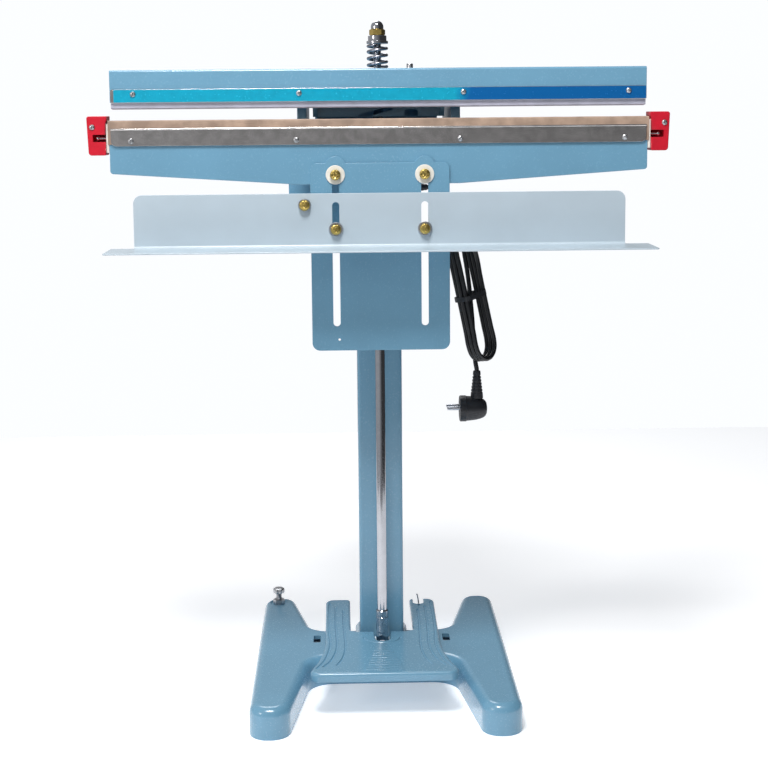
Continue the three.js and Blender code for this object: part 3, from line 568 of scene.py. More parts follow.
def film_tint(name, colour, deep):
    # blue protective film on bright steel: light blue, and a deeper blue past about 120 mm right of centre,
    # along a wandering border
    material = finish(name, shaded(colour, 0.9), (0.1, 0.28), blotch=9, grain=3, relief=0.12, Metallic=0.35)
    tree = material.node_tree
    where = add(tree, "ShaderNodeTexCoord").outputs["Object"]
    along = add(tree, "ShaderNodeSeparateXYZ", {0: where}).outputs["X"]
    wander = noise(tree, where, 40)
    edge = add(tree, "ShaderNodeMath", {0: wander, 1: 0.03, 2: along}, operation="MULTIPLY_ADD").outputs[0]
    share = add(tree, "ShaderNodeMapRange", {"Value": edge, "From Min": 0.105, "From Max": 0.13}).outputs[0]
    principled = tree.nodes["Principled BSDF"]
    light = principled.inputs["Base Color"].links[0].from_socket
    mixed = add(tree, "ShaderNodeMix", {"Factor": share}, data_type="RGBA")
    mix_in = [s for s in mixed.inputs if s.type == "RGBA"]
    tree.links.new(light, mix_in[0])
    mix_in[1].default_value = deep
    result = [s for s in mixed.outputs if s.type == "RGBA"][0]
    tree.links.new(result, principled.inputs["Base Color"])
    return material


def material(slot):
    """The finish of a material slot, made when it is first asked for."""
    label = "finish_" + slot
    if label in bpy.data.materials:
        return bpy.data.materials[label]
    colours = bpy.context.scene.sealer_colours
    makers = {
        "enamel": lambda: enamel(label, colours.enamel),
        "sheet_paint": lambda: sheet_paint(label, colours.sheet),
        # bright zinc plate, slightly cloudy
        "zinc_steel": lambda: metal(label, colours.zinc, (0.25, 0.42), 0.9, 0.012),
        # rolled stainless strip, its grain along the jaw
        "stainless_strip": lambda: metal(label, colours.stainless, (0.14, 0.26), 0.5, 0.006, (0.02, 1, 1)),
        # heater ribbon, dulled by heat
        "nichrome": lambda: metal(label, colours.nichrome, (0.35, 0.5), 0.6, 0.01, (0.05, 1, 1)),
        # drawn spring wire with an oily sheen
        "spring_steel": lambda: metal(label, colours.spring, (0.22, 0.36), 0.4, 0.008),
        # mirror chrome with fine rubbed marks
        "chrome": lambda: metal(label, colours.chrome, (0.06, 0.16), 0.5, 0.003, darker=0.92),
        # turned brass, a little tarnished in its hollows
        "brass": lambda: metal(label, colours.brass, (0.2, 0.38), 0.4, 0.01, darker=0.7),
        # soft silicone rubber with a matt bloom
        "silicone": lambda: plastic(label, colours.silicone, (0.5, 0.65), 0.9, 0.04),
        "blue_film": lambda: film_tint(label, colours.film, tuple(colours.film_deep)),
        "ptfe_cloth": lambda: woven(label, colours.cloth),
        # layered phenolic sheet, its fibres along the jaw
        "laminate": lambda: plastic(label, colours.laminate, (0.45, 0.6), 0.8, 0.03, 0.7),
        # moulded red nylon
        "red_plastic": lambda: plastic(label, colours.red, (0.28, 0.4), 1.2, 0.02),
        # fired white ceramic and nylon, matt with a faint cream cast
        "white_insulator": lambda: plastic(label, colours.white, (0.4, 0.55), 0.8, 0.02, 0.92),
        # moulded black plastic with a fine satin texture
        "black_plastic": lambda: plastic(label, colours.black, (0.35, 0.5), 0.5, 0.02),
        # extruded PVC with a faint lengthwise grain
        "black_pvc": lambda: plastic(label, colours.cord, (0.3, 0.42), 0.7, 0.015),
        # clear red lens over a small reflector
        "red_lamp": lambda: plastic(
            label, colours.lamp, (0.05, 0.12), 1.5, 0.01, Transmission_Weight=0.35, Coat_Weight=0.6),
        # stacked iron laminations, dull and lined
        "transformer_iron": lambda: metal(label, colours.iron, (0.5, 0.65), 0.7, 0.04, (1, 1, 8)),
        # green lacquered board, glossy in patches
        "circuit_board": lambda: plastic(label, colours.board, (0.25, 0.45), 1.0, 0.02),
        # red-brown silicone sleeve, soft and matt
        "silicone_wire": lambda: plastic(label, colours.wire, (0.4, 0.55), 0.6, 0.02),
    }
    return makers[slot]()


# ---------------------------------------------------------------- settings


def colour(name, description, code):
    return bpy.props.FloatVectorProperty(
        name=name, description=description, subtype="COLOR", size=4, min=0, max=1, default=linear(code))


def length(name, description, millimetres):
    return bpy.props.FloatProperty(
        name=name, description=description, subtype="DISTANCE", unit="LENGTH", min=0.0001,
        default=millimetres * MM, precision=4)


class SealerColours(bpy.types.PropertyGroup):
    """The colours of the finishes."""

    enamel: colour("Enamel", "Stand, pedal, head and jaws", "#6A9AB6")
    sheet: colour("Sheet paint", "Work table and cover", "#B6C5D0")
    zinc: colour("Zinc", "Bolts, nuts and collars", "#C4C6CA")
    stainless: colour("Stainless", "Clamp strips", "#D6D2D0")
    nichrome: colour("Nichrome", "Heating ribbon", "#8F8A86")
    spring: colour("Spring steel", "Coil springs", "#9C9DA6")
    chrome: colour("Chrome", "Pull rod, pins and plug pins", "#B9BBC1")
    brass: colour("Brass", "Thumb screws and pressure nut", "#D8BC6C")
    silicone: colour("Silicone", "Pressing strip", "#B2B3C4")
    film: colour("Film", "Protective film, light end", "#19B4D7")
    film_deep: colour("Deep film", "Protective film, deep end", "#0868B0")
    cloth: colour("PTFE cloth", "Release cloth over the ribbon", "#B39A88")
    laminate: colour("Laminate", "Bed under the ribbon", "#8A5A33")
    red: colour("Red nylon", "End blocks and rocker", "#C8142C")
    white: colour("White", "Insulators and marks", "#E6E4DC")
    black: colour("Black plastic", "Knob, switch, gland and plug", "#24262C")
    cord: colour("Cord", "Sheath of the mains lead", "#15171C")
    lamp: colour("Lamp", "Indicator lens", "#D8402A")
    iron: colour("Iron", "Transformer core", "#6D6F74")
    board: colour("Board", "Circuit board", "#2B6B45")
    wire: colour("Wire", "Element leads", "#B8452F")


class SealerSizes(bpy.types.PropertyGroup):
    """The sizes of details that the CAD frame leaves plain."""

    casting_edge: length("Casting edge", "Rounding of the foot casting's upper edge", 12)
    pedal_edge: length("Pedal edge", "Rounding of the pedal's upper edge", 4)
    panel_edge: length("Panel edge", "Rounding of cast and sheet edges", 0.8)
    groove: length("Groove", "Radius of the grooves in the pedal", 1.9)
    rib_pitch: length("Rib pitch", "Spacing of the pedal's cross ribs", 8)
    thread_pitch: length("Thread pitch", "Pitch of the rod's thread", 1.5)
    knurl: length("Knurl", "Depth of the thumb screws' knurling", 0.35)
    spring_wire: length("Spring wire", "Diameter of the pressure spring's wire", 3.8)
    return_wire: length("Return wire", "Diameter of the return spring's wire", 1.9)
    cord_diameter: length("Cord diameter", "Diameter of the mains lead", CORD_DIAMETER)
    cord_length: length("Cord length", "Length of the mains lead", 1500)
    screw_head: length("Screw head", "Radius of the strip screws' heads", 3.6)


def size(name):
    """A size setting in millimetres."""
    return getattr(bpy.context.scene.sealer_sizes, name) / MM


# ---------------------------------------------------------------- stage


def aim(thing, target):
    """Turn a light to face a point."""
    direction = Vector(target) - thing.location
    thing.rotation_euler = direction.to_track_quat("-Z", "Y").to_euler()


def soft_light(name, location, target, width, power, tint):
    """A square area light aimed at the machine."""
    light = bpy.data.lights.new(name, "AREA")
    light.shape = "SQUARE"
    light.size = width
    light.energy = power
    light.color = tint
    lamp = bpy.data.objects.new(name, light)
    bpy.context.scene.collection.objects.link(lamp)
    lamp.location = location
    aim(lamp, target)


def studio_world():
    """White surroundings for the eye that light the machine like a dim room with a pale floor."""
    world = bpy.data.worlds.new("Studio")
    world.use_nodes = True
    tree = world.node_tree
    where = add(tree, "ShaderNodeTexCoord").outputs["Generated"]
    side = add(tree, "ShaderNodeSeparateXYZ", {0: where}).outputs["X"]
    room = add(tree, "ShaderNodeMapRange", {
        "Value": side, "From Min": -0.5, "From Max": 0.6, "To Min": 0.5, "To Max": 0.06}).outputs[0]
    seen = add(tree, "ShaderNodeLightPath").outputs["Is Camera Ray"]
    share = add(tree, "ShaderNodeMapRange", {"Value": seen, "To Max": 1.05})
    tree.links.new(room, share.inputs["To Min"])
    background = tree.nodes["Background"]
    background.inputs["Color"].default_value = linear("#F7F9FC")
    tree.links.new(share.outputs[0], background.inputs["Strength"])
    return world


class BuildStage(bpy.types.Operator):
    """Camera, soft studio lights and the floor"""

    bl_idname = "sealer.stage"
    bl_label = "Stage"

    def execute(self, context):
        scene = context.scene
        lens = bpy.data.cameras.new("Camera")
        lens.lens = 67.18
        lens.shift_x = 0.007
        lens.shift_y = -0.13
        camera = bpy.data.objects.new("Camera", lens)
        scene.collection.objects.link(camera)
        camera.location = (-0.045, -1.9, 0.77)
        turn = Matrix.Rotation(math.radians(-1.34), 4, "Z")
        pitch = Matrix.Rotation(math.radians(90 - 6.86), 4, "X")
        roll = Matrix.Rotation(math.radians(-0.5), 4, "Z")
        camera.rotation_euler = (turn @ pitch @ roll).to_euler()
        scene.camera = camera
        scene.view_settings.view_transform = "Standard"

        scene.world = studio_world()
        soft_light("Key", (-0.22, -0.95, 2.1), (0, 0, 0.7), 0.5, 34, (1.0, 0.99, 0.97))
        soft_light("Left", (-1.7, -1.3, 1.2), (0, 0, 0.75), 0.5, 8, (1.0, 0.92, 0.86))
        soft_light("Rear", (-0.3, 1.6, 2.2), (0, 0, 0.5), 1.0, 16, (1.0, 1.0, 1.0))

        bm = bmesh.new()
        bmesh.ops.create_grid(bm, x_segments=4, y_segments=4, size=1.5)
        floor = piece_from(bm, "floor")
        # pale matt floor with the faintest mottle and a low glow, so that it stays white
        paper = finish(
            "Pale floor", shaded(linear("#F4F5F7"), 0.985), (0.75, 0.9), blotch=300, grain=3, relief=0.01,
            Emission_Color=linear("#F7F9FC"), Emission_Strength=0.4)
        floor.data.materials.append(paper)
        return {"FINISHED"}


# ---------------------------------------------------------------- mains lead


def hank_point(u, v, w):
    """A point of the hank: across it, along it from its top, and through its thickness."""
    run = HANK_FOOT - HANK_TOP
    lean = math.atan2(run.x, -run.z)
    c, s = math.cos(HANK_TURN), math.sin(HANK_TURN)
    across = Vector((c * math.cos(lean), s, c * math.sin(lean)))
    through = Vector((s * math.cos(lean), -c, s * math.sin(lean)))
    along = Vector((-math.sin(lean), 0, math.cos(lean)))
    return HANK_TOP + across * u + along * v + through * w


def hank_turns():
    """Seven runs and six folds of the lead, each run beside the last."""
    top, foot = -23, -163.9
    points = []
    for run in range(6):
        side, down = (1, True) if run % 2 == 0 else (-1, False)
        w = (3 - run) * HANK_STEP
        start, end = (top, foot) if down else (foot, top)
        for k in range(1, 6):
            t = k / 6
            if run == 0 and t < 0.3:
                continue
            bow = 0.7 * math.sin(math.pi * t) * (1 if run % 3 else -1)
            points.append(hank_point(side * HANK_REACH + bow, start + (end - start) * t, w))
        for k in range(7):
            a = math.pi * k / 6
            lift = -math.sin(a) if down else math.sin(a)
            points.append(hank_point(
                side * HANK_REACH * math.cos(a), end + lift * HANK_REACH, w - HANK_STEP * k / 6))
    return points


def cord_route():
    """Control points of the lead: gland, over to the hank, its turns, then down to the plug."""
    lead = [Vector(p) for p in (
        (47, 100, 665), (54, 100, 665), (64, 100, 665), (76, 100, 664.5), (90, 99, 660), (101, 97.5, 650),
        (108, 96, 636), (111.5, 95.5, 620))]
    over = [(3, 5, 6), (8, -8, 11), (14, -23, 12), (18.5, -39, 10.8)]
    last = [
        (19.3, -40, -9.9), (17, -70, -10.2), (12, -100, -10.4), (6, -130, -10.4), (0, -155, -10.8),
        (-4.8, -175, -10.4), (-7.4, -187, -10.1),
    ]
    tail = [Vector((*PLUG_AXIS, 406)), Vector((*PLUG_AXIS, 401))]
    return (
        lead + [hank_point(*p) for p in over] + hank_turns() + [hank_point(*p) for p in last] + tail)


def hank_tie():
    """A flat strap round the middle of the hank."""
    bm = bmesh.new()
    loop = anticlockwise(rounded([(-24.3, -14.8, 9), (24.3, -14.8, 9), (24.3, 14.8, 9), (-24.3, 14.8, 9)], 8))
    section = [(0, -3.4), (0, 3.4), (1.3, 3.1), (1.3, -3.1)]
    rings = []
    for distance, v in section:
        rings.append([bm.verts.new(hank_point(p.x, v - 92, p.y) * MM) for p in inset(loop, distance)])
    for low, high in zip(rings, rings[1:] + rings[:1]):
        for i in range(len(low)):
            k = (i + 1) % len(low)
            bm.faces.new((low[i], low[k], high[k], high[i]))
    return piece_from(bm, "hank_tie")


class BuildCord(bpy.types.Operator):
    """Mains lead with its gland, hank, tie and plug"""

    bl_idname = "sealer.cord"
    bl_label = "Mains lead"

    def execute(self, context):
        line = bpy.data.curves.new("mains_cord", "CURVE")
        line.dimensions = "3D"
        line.bevel_depth = size("cord_diameter") / 2 * MM
        line.bevel_resolution = 5
        line.resolution_u = 6
        line.use_fill_caps = True
        route = cord_route()
        spline = line.splines.new("BEZIER")
        spline.bezier_points.add(len(route) - 1)
        for point, here in zip(spline.bezier_points, route):
            point.co = here * MM
            point.handle_left_type = point.handle_right_type = "AUTO"
        cord = bpy.data.objects.new("mains_cord", line)
        context.scene.collection.objects.link(cord)
        place(cord, "frame", material("black_pvc"), "black_pvc", "cord_hank", "cord_lead", "cord_tail")

        gland = lathe("gland_body", [
            (3.4, -6), (5.3, -6), (5.5, -5.6), (5.5, 0.3), (9.7, 0.3), (10, 0.6), (10, 5.6), (9.6, 6),
            (7.5, 8),
            (6.6, 10), (6.2, 14), (5.7, 14.4), (5.7, 15.6), (6, 16), (5.4, 20), (4.9, 20.4), (4.9, 21.6),
            (5.1, 22), (4.7, 25), (4.3, 25.4), (4.3, 26.4), (4.5, 26.8), (4.1, 29.5), (3.4, 29.9)],
            "x", GLAND, flutes=6, depth=1.1, fluted=(4, 5, 6, 7), ring=True)
        place(gland, "frame", material("black_plastic"), "black_plastic", "cord_gland")

        neck = [(0, 366), (9, 366)]
        for i in range(6):
            z = 374 + i * 4.6
            r = 8.2 - i * 0.52
            neck += [(r + 0.2, z), (r - 0.7, z + 0.5), (r - 0.7, z + 1.7), (r, z + 2.2)]
        neck += [(5.2, 404.4), (4.8, 405), (0, 405)]
        body = lathe("plug_body", [
            (0, 0), (17.4, 0), (18.2, 0.4), (18.5, 1.4), (18.5, 8.6), (17.9, 9.4), (17.6, 10.4), (17.4, 14),
            (16.4, 23), (15, 29), (13, 34), (10.8, 36.6), (8, 38.2), (4, 38.9), (0, 39)], "x", (115, 95, 351))
        plug = join(body, lathe("neck", neck, "z", (*PLUG_AXIS, 0), 48))
        place(plug, "frame", material("black_plastic"), "black_plastic", "plug")
        pins = []
        for side in (-9.5, 9.5):
            pins.append(lathe(
                "plug_pin_" + ("front" if side < 0 else "rear"),
                [(0, -1), (2.4, -1), (2.4, 16.8), (2.2, 18), (1.4, 18.8), (0, 19)],
                "-x", (115.5, 95 + side, 353), 32))
            place(pins[-1], "frame", material("chrome"), "chrome")
        tie = hank_tie()
        place(tie, "frame", material("black_plastic"), "black_plastic")
        size("cord_length") * MM
        size("cord_diameter") * MM
        return {"FINISHED"}


# ---------------------------------------------------------------- stand


class BuildCasting(bpy.types.Operator):
    """Cast H-shaped foot with its openings, ribs and levelling bolt"""

    bl_idname = "sealer.casting"
    bl_label = "Foot casting"

    def execute(self, context):
        quarter = [
            (60, -35), (97, -35, 35), (122, -208, 24), (171, -208, 24), (171, 208, 21), (128, 208, 21),
            (96, 68, 30), (60, 68)]
        edge = size("casting_edge")
        turns = [math.pi / 2 * k / 8 for k in range(9)]
        shoulder = BASE_TOP - edge
        profile = [(edge * (1 - math.cos(a)), shoulder + edge * math.sin(a)) for a in reversed(turns)]
        profile += [(0, 1.2), (0.3, 0.3), (1.2, 0), (4.4, 0), (5, 0.6), (5, 22), (8, 30), (14, 35)]
        outline = rounded(mirrored(quarter), 10)
        casting = stack("casting_body", "xy", outline, profile)
        ribs = [
            block("rib", (side * x - 3, side * x + 3), (-32, 65), (0.5, 37), 0.5)
            for side in (-1, 1) for x in (79, 102)]
        lug = slab("lug", "yz", rectangle(65, 79, 8, 20, 3), 54, 58, 0.5)
        join(casting, *ribs, lug)
        openings = [
            slab("cutter", "xy", rectangle(-22, 22, -30, 1, 4), 10, 50, 0),
            bar("cutter", "x", 5.3, (0, HINGE.y, HINGE.z), -130, 130, 0),
            bar("cutter", "x", 2, (0, 74, 14), 46, 66, 0, 24),
            bar("cutter", "z", 4.6, LEVELLER, 20, 60, 0),
            lathe(
                "cutter",
                [(0, 37.5), (11, 37.5), (12.4, 38), (13.2, 39.2), (14.2, 40.2), (14.4, 46), (0, 46)],
                "z", LEVELLER),
        ]
        for side in (-1, 1):
            openings.append(slab(
                "cutter", "xy", rectangle(side * 90 - 5, side * 90 + 5, 16, 42, 2.5), 20, 50, 0))
            openings.append(slab(
                "cutter", "xy", rectangle(side * 56 - 9.5, side * 56 + 9.5, 24, 63, 3), 10, 50, 0))
        cut(casting, *openings)
        place(casting, "frame", material("enamel"), "enamel", "base_casting")

        screw = [(0, 1), (3.2, 1)] + thread(4, 2, 53.5, 1.25, 0.5)
        screw += [(4, 54), (7.4, 54.2), (8.6, 55.4), (8.6, 60), (7.8, 61.4), (6.2, 62), (0, 62)]
        count = len(screw)
        bolt = lathe(
            "levelling_bolt_body", screw, "z", LEVELLER, 48, flutes=6, depth=1.1,
            fluted=range(count - 6, count - 2))
        place(bolt, "frame", material("zinc_steel"), "zinc_steel", "levelling_bolt")
        nut = hexagon("levelling_nut_body", 15.2, 4.3, 37.8, 45, LEVELLER[:2])
        place(nut, "frame", material("zinc_steel"), "zinc_steel", "levelling_nut")
        axle = bar("pedal_axle_body", "x", 5, (0, HINGE.y, HINGE.z), -106, 106, 0.8)
        place(axle, "frame", material("zinc_steel"), "zinc_steel", "pedal_axle")
        return {"FINISHED"}


class BuildColumn(bpy.types.Operator):
    """Square column and its chamfered foot collar"""

    bl_idname = "sealer.column"
    bl_label = "Column"

    def execute(self, context):
        column = slab("column_body", "xy", rectangle(-30, 30, 10, 70, 4), 40.3, 699.7, 0.4)
        place(column, "frame", material("enamel"), "enamel", "column")
        collar = stack("column_collar_body", "xy", rectangle(-36, 36, 4, 76, 8), [
            (0.8, 40.3), (0.2, 40.6), (0, 41.2), (0, 43), (0.3, 43.6), (4.8, 49.2), (5.3, 49.7), (5.8, 50)])
        bore = slab("bore", "xy", rectangle(-30.2, 30.2, 9.8, 70.2, 4), 30, 80, 0)
        cut(collar, bore)
        place(collar, "frame", material("enamel"), "enamel", "column_collar")
        return {"FINISHED"}


# ---------------------------------------------------------------- pedal


def flared(name, corners):
    """A cutter that leaves a soft edge round the hole at the pedal's top."""
    outline = rounded(corners)
    profile = [(0, 20), (0, 58.6), (-0.3, 59.6), (-1, 60.3), (-2, 60.6), (-2, 66)]
    return stack(name, "xy", outline, profile)


def pedal_grooves():
    """Three grooves on each arm that spread over the tread, and an arc round the rod."""
    lines = [
        [(53, 86), (53, 40), (52, 0), (50.5, -40), (51, -72), (55, -100), (62, -120)],
        [(64, 100), (64, 40), (63, 0), (61.5, -40), (63, -72), (69, -102), (79, -125)],
        [(73, 118), (74, 60), (73, 0), (70.5, -40), (72.5, -72), (78, -104), (87.5, -130)],
    ]
    arc = [math.radians(a) for a in range(-180, 1, 15)]
    around_rod = [(25 * math.cos(a), -22 + 20 * math.sin(a)) for a in arc]
    routes = [around_rod]
    for side in (-1, 1):
        routes += [[(side * x, y) for x, y in line] for line in lines]
    height = PEDAL_TOP + 0.45
    return [
        tube("cutter", catmull([Vector((x, y, height)) for x, y in route], 5), size("groove"), 10)
        for route in routes]


class BuildPedal(bpy.types.Operator):
    """Cast foot pedal with grooves, ribs and lugs, its pin and the return spring"""

    bl_idname = "sealer.pedal"
    bl_label = "Foot pedal"

    def execute(self, context):
        half = [
            (43, 2, 10), (43, 133, 5.5), (79, 133, 12), (78, 30), (77.5, -39), (80, -72), (86, -104),
            (99, -148, 12)]
        outline = rounded(mirrored(half))
        edge = size("pedal_edge")
        turns = [math.pi / 2 * k / 6 for k in range(7)]
        profile = [(2.5, 48), (0.8, 48.6), (0, 50.2)]
        profile += [(edge * (1 - math.cos(a)), PEDAL_TOP - edge + edge * math.sin(a)) for a in turns]
        pedal = stack("pedal_body", "xy", outline, profile)
        under = stack("under", "xy", outline, [(4, 30), (4, 50.5), (6.5, 53.5)])
        cut(under, block("cutter", (-120, 120), (-54, 160), (20, 60), 0))
        cut(pedal, under, block("cutter", (-120, 120), (-54, 160), (20, 53.5), 0))
        lugs = []
        for side in (-1, 1):
            for inner, outer, y, z, r in ((51, 61, HINGE.y, HINGE.z, 11), (11, 16.5, ROD_Y, 30, 8)):
                lug = rounded([
                    (y - r, z - r, r - 0.5), (y + r, z - r, r - 0.5), (y + r, 57.5), (y - r, 57.5)])
                x = sorted((side * inner, side * outer))
                lugs.append(slab("lug", "yz", lug, *x, 0.6))
        join(pedal, *lugs)
        cut(
            pedal,
            flared("cutter", [(-10.5, -35, 10.4), (10.5, -35, 10.4), (10.5, 30), (-10.5, 30)]),
            flared("cutter", [(48.5, 110, 7.4), (63.5, 110, 7.4), (63.5, 142), (48.5, 142)]),
            bar("cutter", "z", 2.2, (56, 104, 0), 40, 70, 0, 24),
            bar("cutter", "x", 5.3, (0, HINGE.y, HINGE.z), -70, 70, 0),
            bar("cutter", "x", 3.2, (0, ROD_Y, 30), -20, 20, 0),
            *pedal_grooves())
        place(pedal, "pedal", material("enamel"), "enamel", "pedal")

        rib = slab("rib", "xy", rectangle(-50, 50, -1.5, 1.5, 1.4), -0.3, 0.7, 0.5, 3)
        pitch = size("rib_pitch")
        rows = [(0, -72 - pitch * i, PEDAL_TOP) for i in range(PEDAL_RIBS)]
        ribs = repeated(
            "pedal_ribs", rib, rows, material("enamel"),
            stretch=[(0.26 + 0.03 * i, 1, 1) for i in range(PEDAL_RIBS)])
        place(ribs, "pedal", material("enamel"), "enamel")
        pin = bar("clevis_pin_body", "x", 3, (0, ROD_Y, 30), -18, 18, 0.5, 32)
        place(pin, "pedal", material("zinc_steel"), "zinc_steel", "clevis_pin")

        wire = size("return_wire") / 2
        low, high = Vector((56, 81, 19)), Vector((56, 102, 46))
        coil = helix(5, low, high, 10, per_turn=20)
        hooks = [Vector(p) for p in ((56, 72, 12), (57, 76, 11.5), (60, 79, 14))]
        upper = [Vector(p) for p in ((58, 103, 50), (56, 106, 56), (56, 112, 60), (55.5, 113.5, 66),
            (54.5, 113, 71), (53.5, 112, 74))]
        spring = tube("return_spring_body", [*hooks, *coil, *upper], wire, 10)
        spring.data.materials.append(material("spring_steel"))
        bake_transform(spring)
        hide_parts("return_spring")
        return {"FINISHED"}


# ---------------------------------------------------------------- pull rod


class BuildPullRod(bpy.types.Operator):
    """Chromed pull rod with its clevis, collar, washer, pressure nut and cap nut"""

    bl_idname = "sealer.pull_rod"
    bl_label = "Pull rod"

    def execute(self, context):
        centre = (0, ROD_Y, 0)
        profile = [(0, 46), (6.1, 46), (6.5, 46.4), (6.5, 799.4), (5.2, 802)]
        profile += thread(5, 803, 878, size("thread_pitch"), 0.7) + [(3.6, 879), (0, 879)]
        rod = lathe("pull_rod_body", profile, "z", centre, 48)
        place(rod, "rod", material("chrome"), "chrome", "pull_rod")
        clevis = lathe("rod_clevis_body", [
            (0, 20), (7.4, 20), (8.3, 20.9), (8.3, 88), (7.9, 88.4), (7.9, 89.6), (8.3, 90), (8.3, 97),
            (7.4, 98), (6.7, 98), (6.7, 46), (0, 46)], "z", centre)
        cut(clevis, bar("cutter", "x", 4, (0, ROD_Y, 30), -20, 20, 0))
        place(clevis, "rod", material("chrome"), "chrome", "rod_clevis")
        collar = lathe("lift_collar_body", [
            (5.3, 806), (12.4, 806), (13, 806.6), (13, 814.6), (12.4, 815.2), (5.3, 815.2)], "z", centre,
            ring=True)
        place(collar, "rod", material("zinc_steel"), "zinc_steel", "lift_collar")
        washer = lathe("spring_washer_body", [
            (5.3, 857.5), (13.6, 857.5), (14, 857.9), (14, 860.6), (13.6, 861), (12.1, 861), (12, 861.2),
            (12, 867.4), (11.4, 868), (5.3, 868)], "z", centre, ring=True)
        place(washer, "rod", material("chrome"), "chrome", "spring_washer")
        nut = hexagon("adjusting_nut_body", 18, 5.3, 868.3, 876, (0, ROD_Y))
        place(nut, "rod", material("brass"), "brass", "adjusting_nut")
        cap = lathe("cap_nut_body", [
            (0, 879.4), (5.3, 879.4), (5.3, 876.3), (7.9, 876.3), (8.2, 876.7), (8.2, 879.6), (7.9, 881.4),
            (7.1, 883.2), (5.9, 884.8), (4.3, 886), (2.2, 886.8), (0, 887)], "z", centre)
        place(cap, "rod", material("chrome"), "chrome", "cap_nut")
        return {"FINISHED"}


# ---------------------------------------------------------------- head and arm


class BuildHead(bpy.types.Operator):
    """Floor plate and cheeks of the head, the arm's shaft and the micro switch"""

    bl_idname = "sealer.head"
    bl_label = "Head"

    def execute(self, context):
        edge = size("panel_edge")
        floor = slab("head_floor_body", "xy", rectangle(-104, 104, -69.7, 92, 3), 700, 708, edge)
        cut(floor, bar("cutter", "z", 8.5, (0, ROD_Y, 0), 690, 720, 0))
        place(floor, "frame", material("enamel"), "enamel", "head_floor")
        cheek = [
            (-69.7, 708.3), (92, 708.3, 3), (98, 760), (98, 808, 18), (56, 808, 14), (20, 782, 20),
            (-60, 778, 6),
            (-62, 748, 3), (-69.7, 742)]
        for name, x in (("left", -104), ("right", 92)):
            body = slab(f"head_cheek_{name}_body", "yz", rounded(cheek), x, x + 12, 1.6)
            cut(body, bar("cutter", "x", 8.3, ARM_SHAFT, x - 5, x + 17, 0))
            place(body, "frame", material("enamel"), "enamel", f"head_cheek_{name}")
        shaft = bar("arm_shaft_body", "x", 8, ARM_SHAFT, -108, 108, 1)
        place(shaft, "frame", material("zinc_steel"), "zinc_steel", "arm_shaft")
        switch = join(
            block("micro_switch_body", (62, 68), (20, 48), (708.3, 738), 0.6),
            block("plunger", (63.5, 66.5), (36, 40), (737, 742), 0.5))
        place(switch, "frame", material("black_plastic"), "black_plastic", "micro_switch")
        return {"FINISHED"}


class BuildArm(bpy.types.Operator):
    """Cast upper arm, its bolt and the pressure spring"""

    bl_idname = "sealer.arm"
    bl_label = "Upper arm"

    def execute(self, context):
        arm = refined("upper_arm", 0.7)
        place(arm, "arm", material("enamel"), "enamel", "upper_arm")
        bolt = lathe("arm_bolt_body", [
            (0, 806), (2.7, 806), (3, 806.4), (3, 823.8), (3.9, 823.8), (4.2, 824.1), (4.2, 831),
            (3.8, 831.8),
            (3.2, 832), (1.9, 831.9), (1.7, 829.4), (0, 829.4)], "z", (42, ROD_Y, 0), 32)
        place(bolt, "arm", material("zinc_steel"), "zinc_steel", "arm_bolt")
        wire = size("spring_wire")
        low, high = Vector((0, ROD_Y, 826.3 + wire / 2)), Vector((0, ROD_Y, 857.1 - wire / 2))
        spring = tube(
            "pressure_spring_body", helix(12.1, low, high, 3.7, wire, 0.5, 40), wire / 2, 20)
        place(spring, "arm", material("spring_steel"), "spring_steel", "pressure_spring")
        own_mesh(spring)
        return {"FINISHED"}


# ---------------------------------------------------------------- jaws


def strip_screws(name, points):
    """Slotted screws with domed heads on a clamp strip, each turned as it came to rest."""
    r = size("screw_head")
    head = lathe("head", [
        (0, -1), (r - 0.2, -1), (r, -0.8), (r, 0.6), (r * 0.86, 1.5), (r * 0.6, 2), (r * 0.3, 2.2),
        (0, 2.25)],
        "-y", (0, 0, 0), 32)
    slot = block("slot", (-r - 1, r + 1), (-3, -1.2), (-0.5, 0.5), 0)
    return repeated(name, cut(head, slot), points, material("zinc_steel"), math.pi, 11)


class BuildUpperJaw(bpy.types.Operator):
    """Upper jaw with its pressing strip, clamp strip, film and screws"""

    bl_idname = "sealer.upper_jaw"
    bl_label = "Upper jaw"

    def execute(self, context):
        channel = rounded([
            (-98, 783.7, 1), (-72, 783.7), (-72, 788.7), (-93, 788.7, 2), (-93, 819, 2), (-72, 819),
            (-72, 824),
            (-98, 824, 3)], 6)
        jaw = slab("upper_jaw_body", "yz", channel, -335, 335, 0.5)
        place(jaw, "arm", material("enamel"), "enamel", "upper_jaw")
        drop = 14 * math.tan(math.radians(4.5))
        strip = slab("silicone_strip_body", "yz", rounded([
            (-97, 776.4, 1.2), (-83, 776.4 - drop, 1.2), (-83, 783.4), (-97, 783.4)], 5), -334, 334, 0.4)
        place(strip, "arm", material("silicone"), "silicone", "silicone_strip")
        clamp = slab(
            "upper_clamp_body", "xz", rectangle(-334, 334, 783.7, 800, 2), -99.5, -98.3, 0.25)
        place(clamp, "arm", material("stainless_strip"), "stainless_strip", "upper_clamp_strip")
        film = slab("film_body", "xz", rectangle(-330, 334, 784, 799.5, 1), -100.1, -99.8, 0.1, 2)
        place(film, "arm", material("blue_film"), "blue_film", "protective_film")
        screws = strip_screws("upper_strip_screws", [(x, -100, 794) for x in (-306, -100, 105, 312)])
        place(screws, "arm", material("zinc_steel"), "zinc_steel")
        return {"FINISHED"}


def cloth_line():
    """The cloth's path from its front hem over the bed to its rear hem, as (y, z)."""
    corners = rounded([
        (-98.95, 732), (-98.95, 761.75, 1.1), (-69.15, 761.75, 1.1), (-69.15, 746)], 4)
    path = [corners[0]]
    for a, b in zip(corners, corners[1:]):
        count = max(1, round((b - a).length / 2.2))
        path += [a.lerp(b, k / count) for k in range(1, count + 1)]
    return path


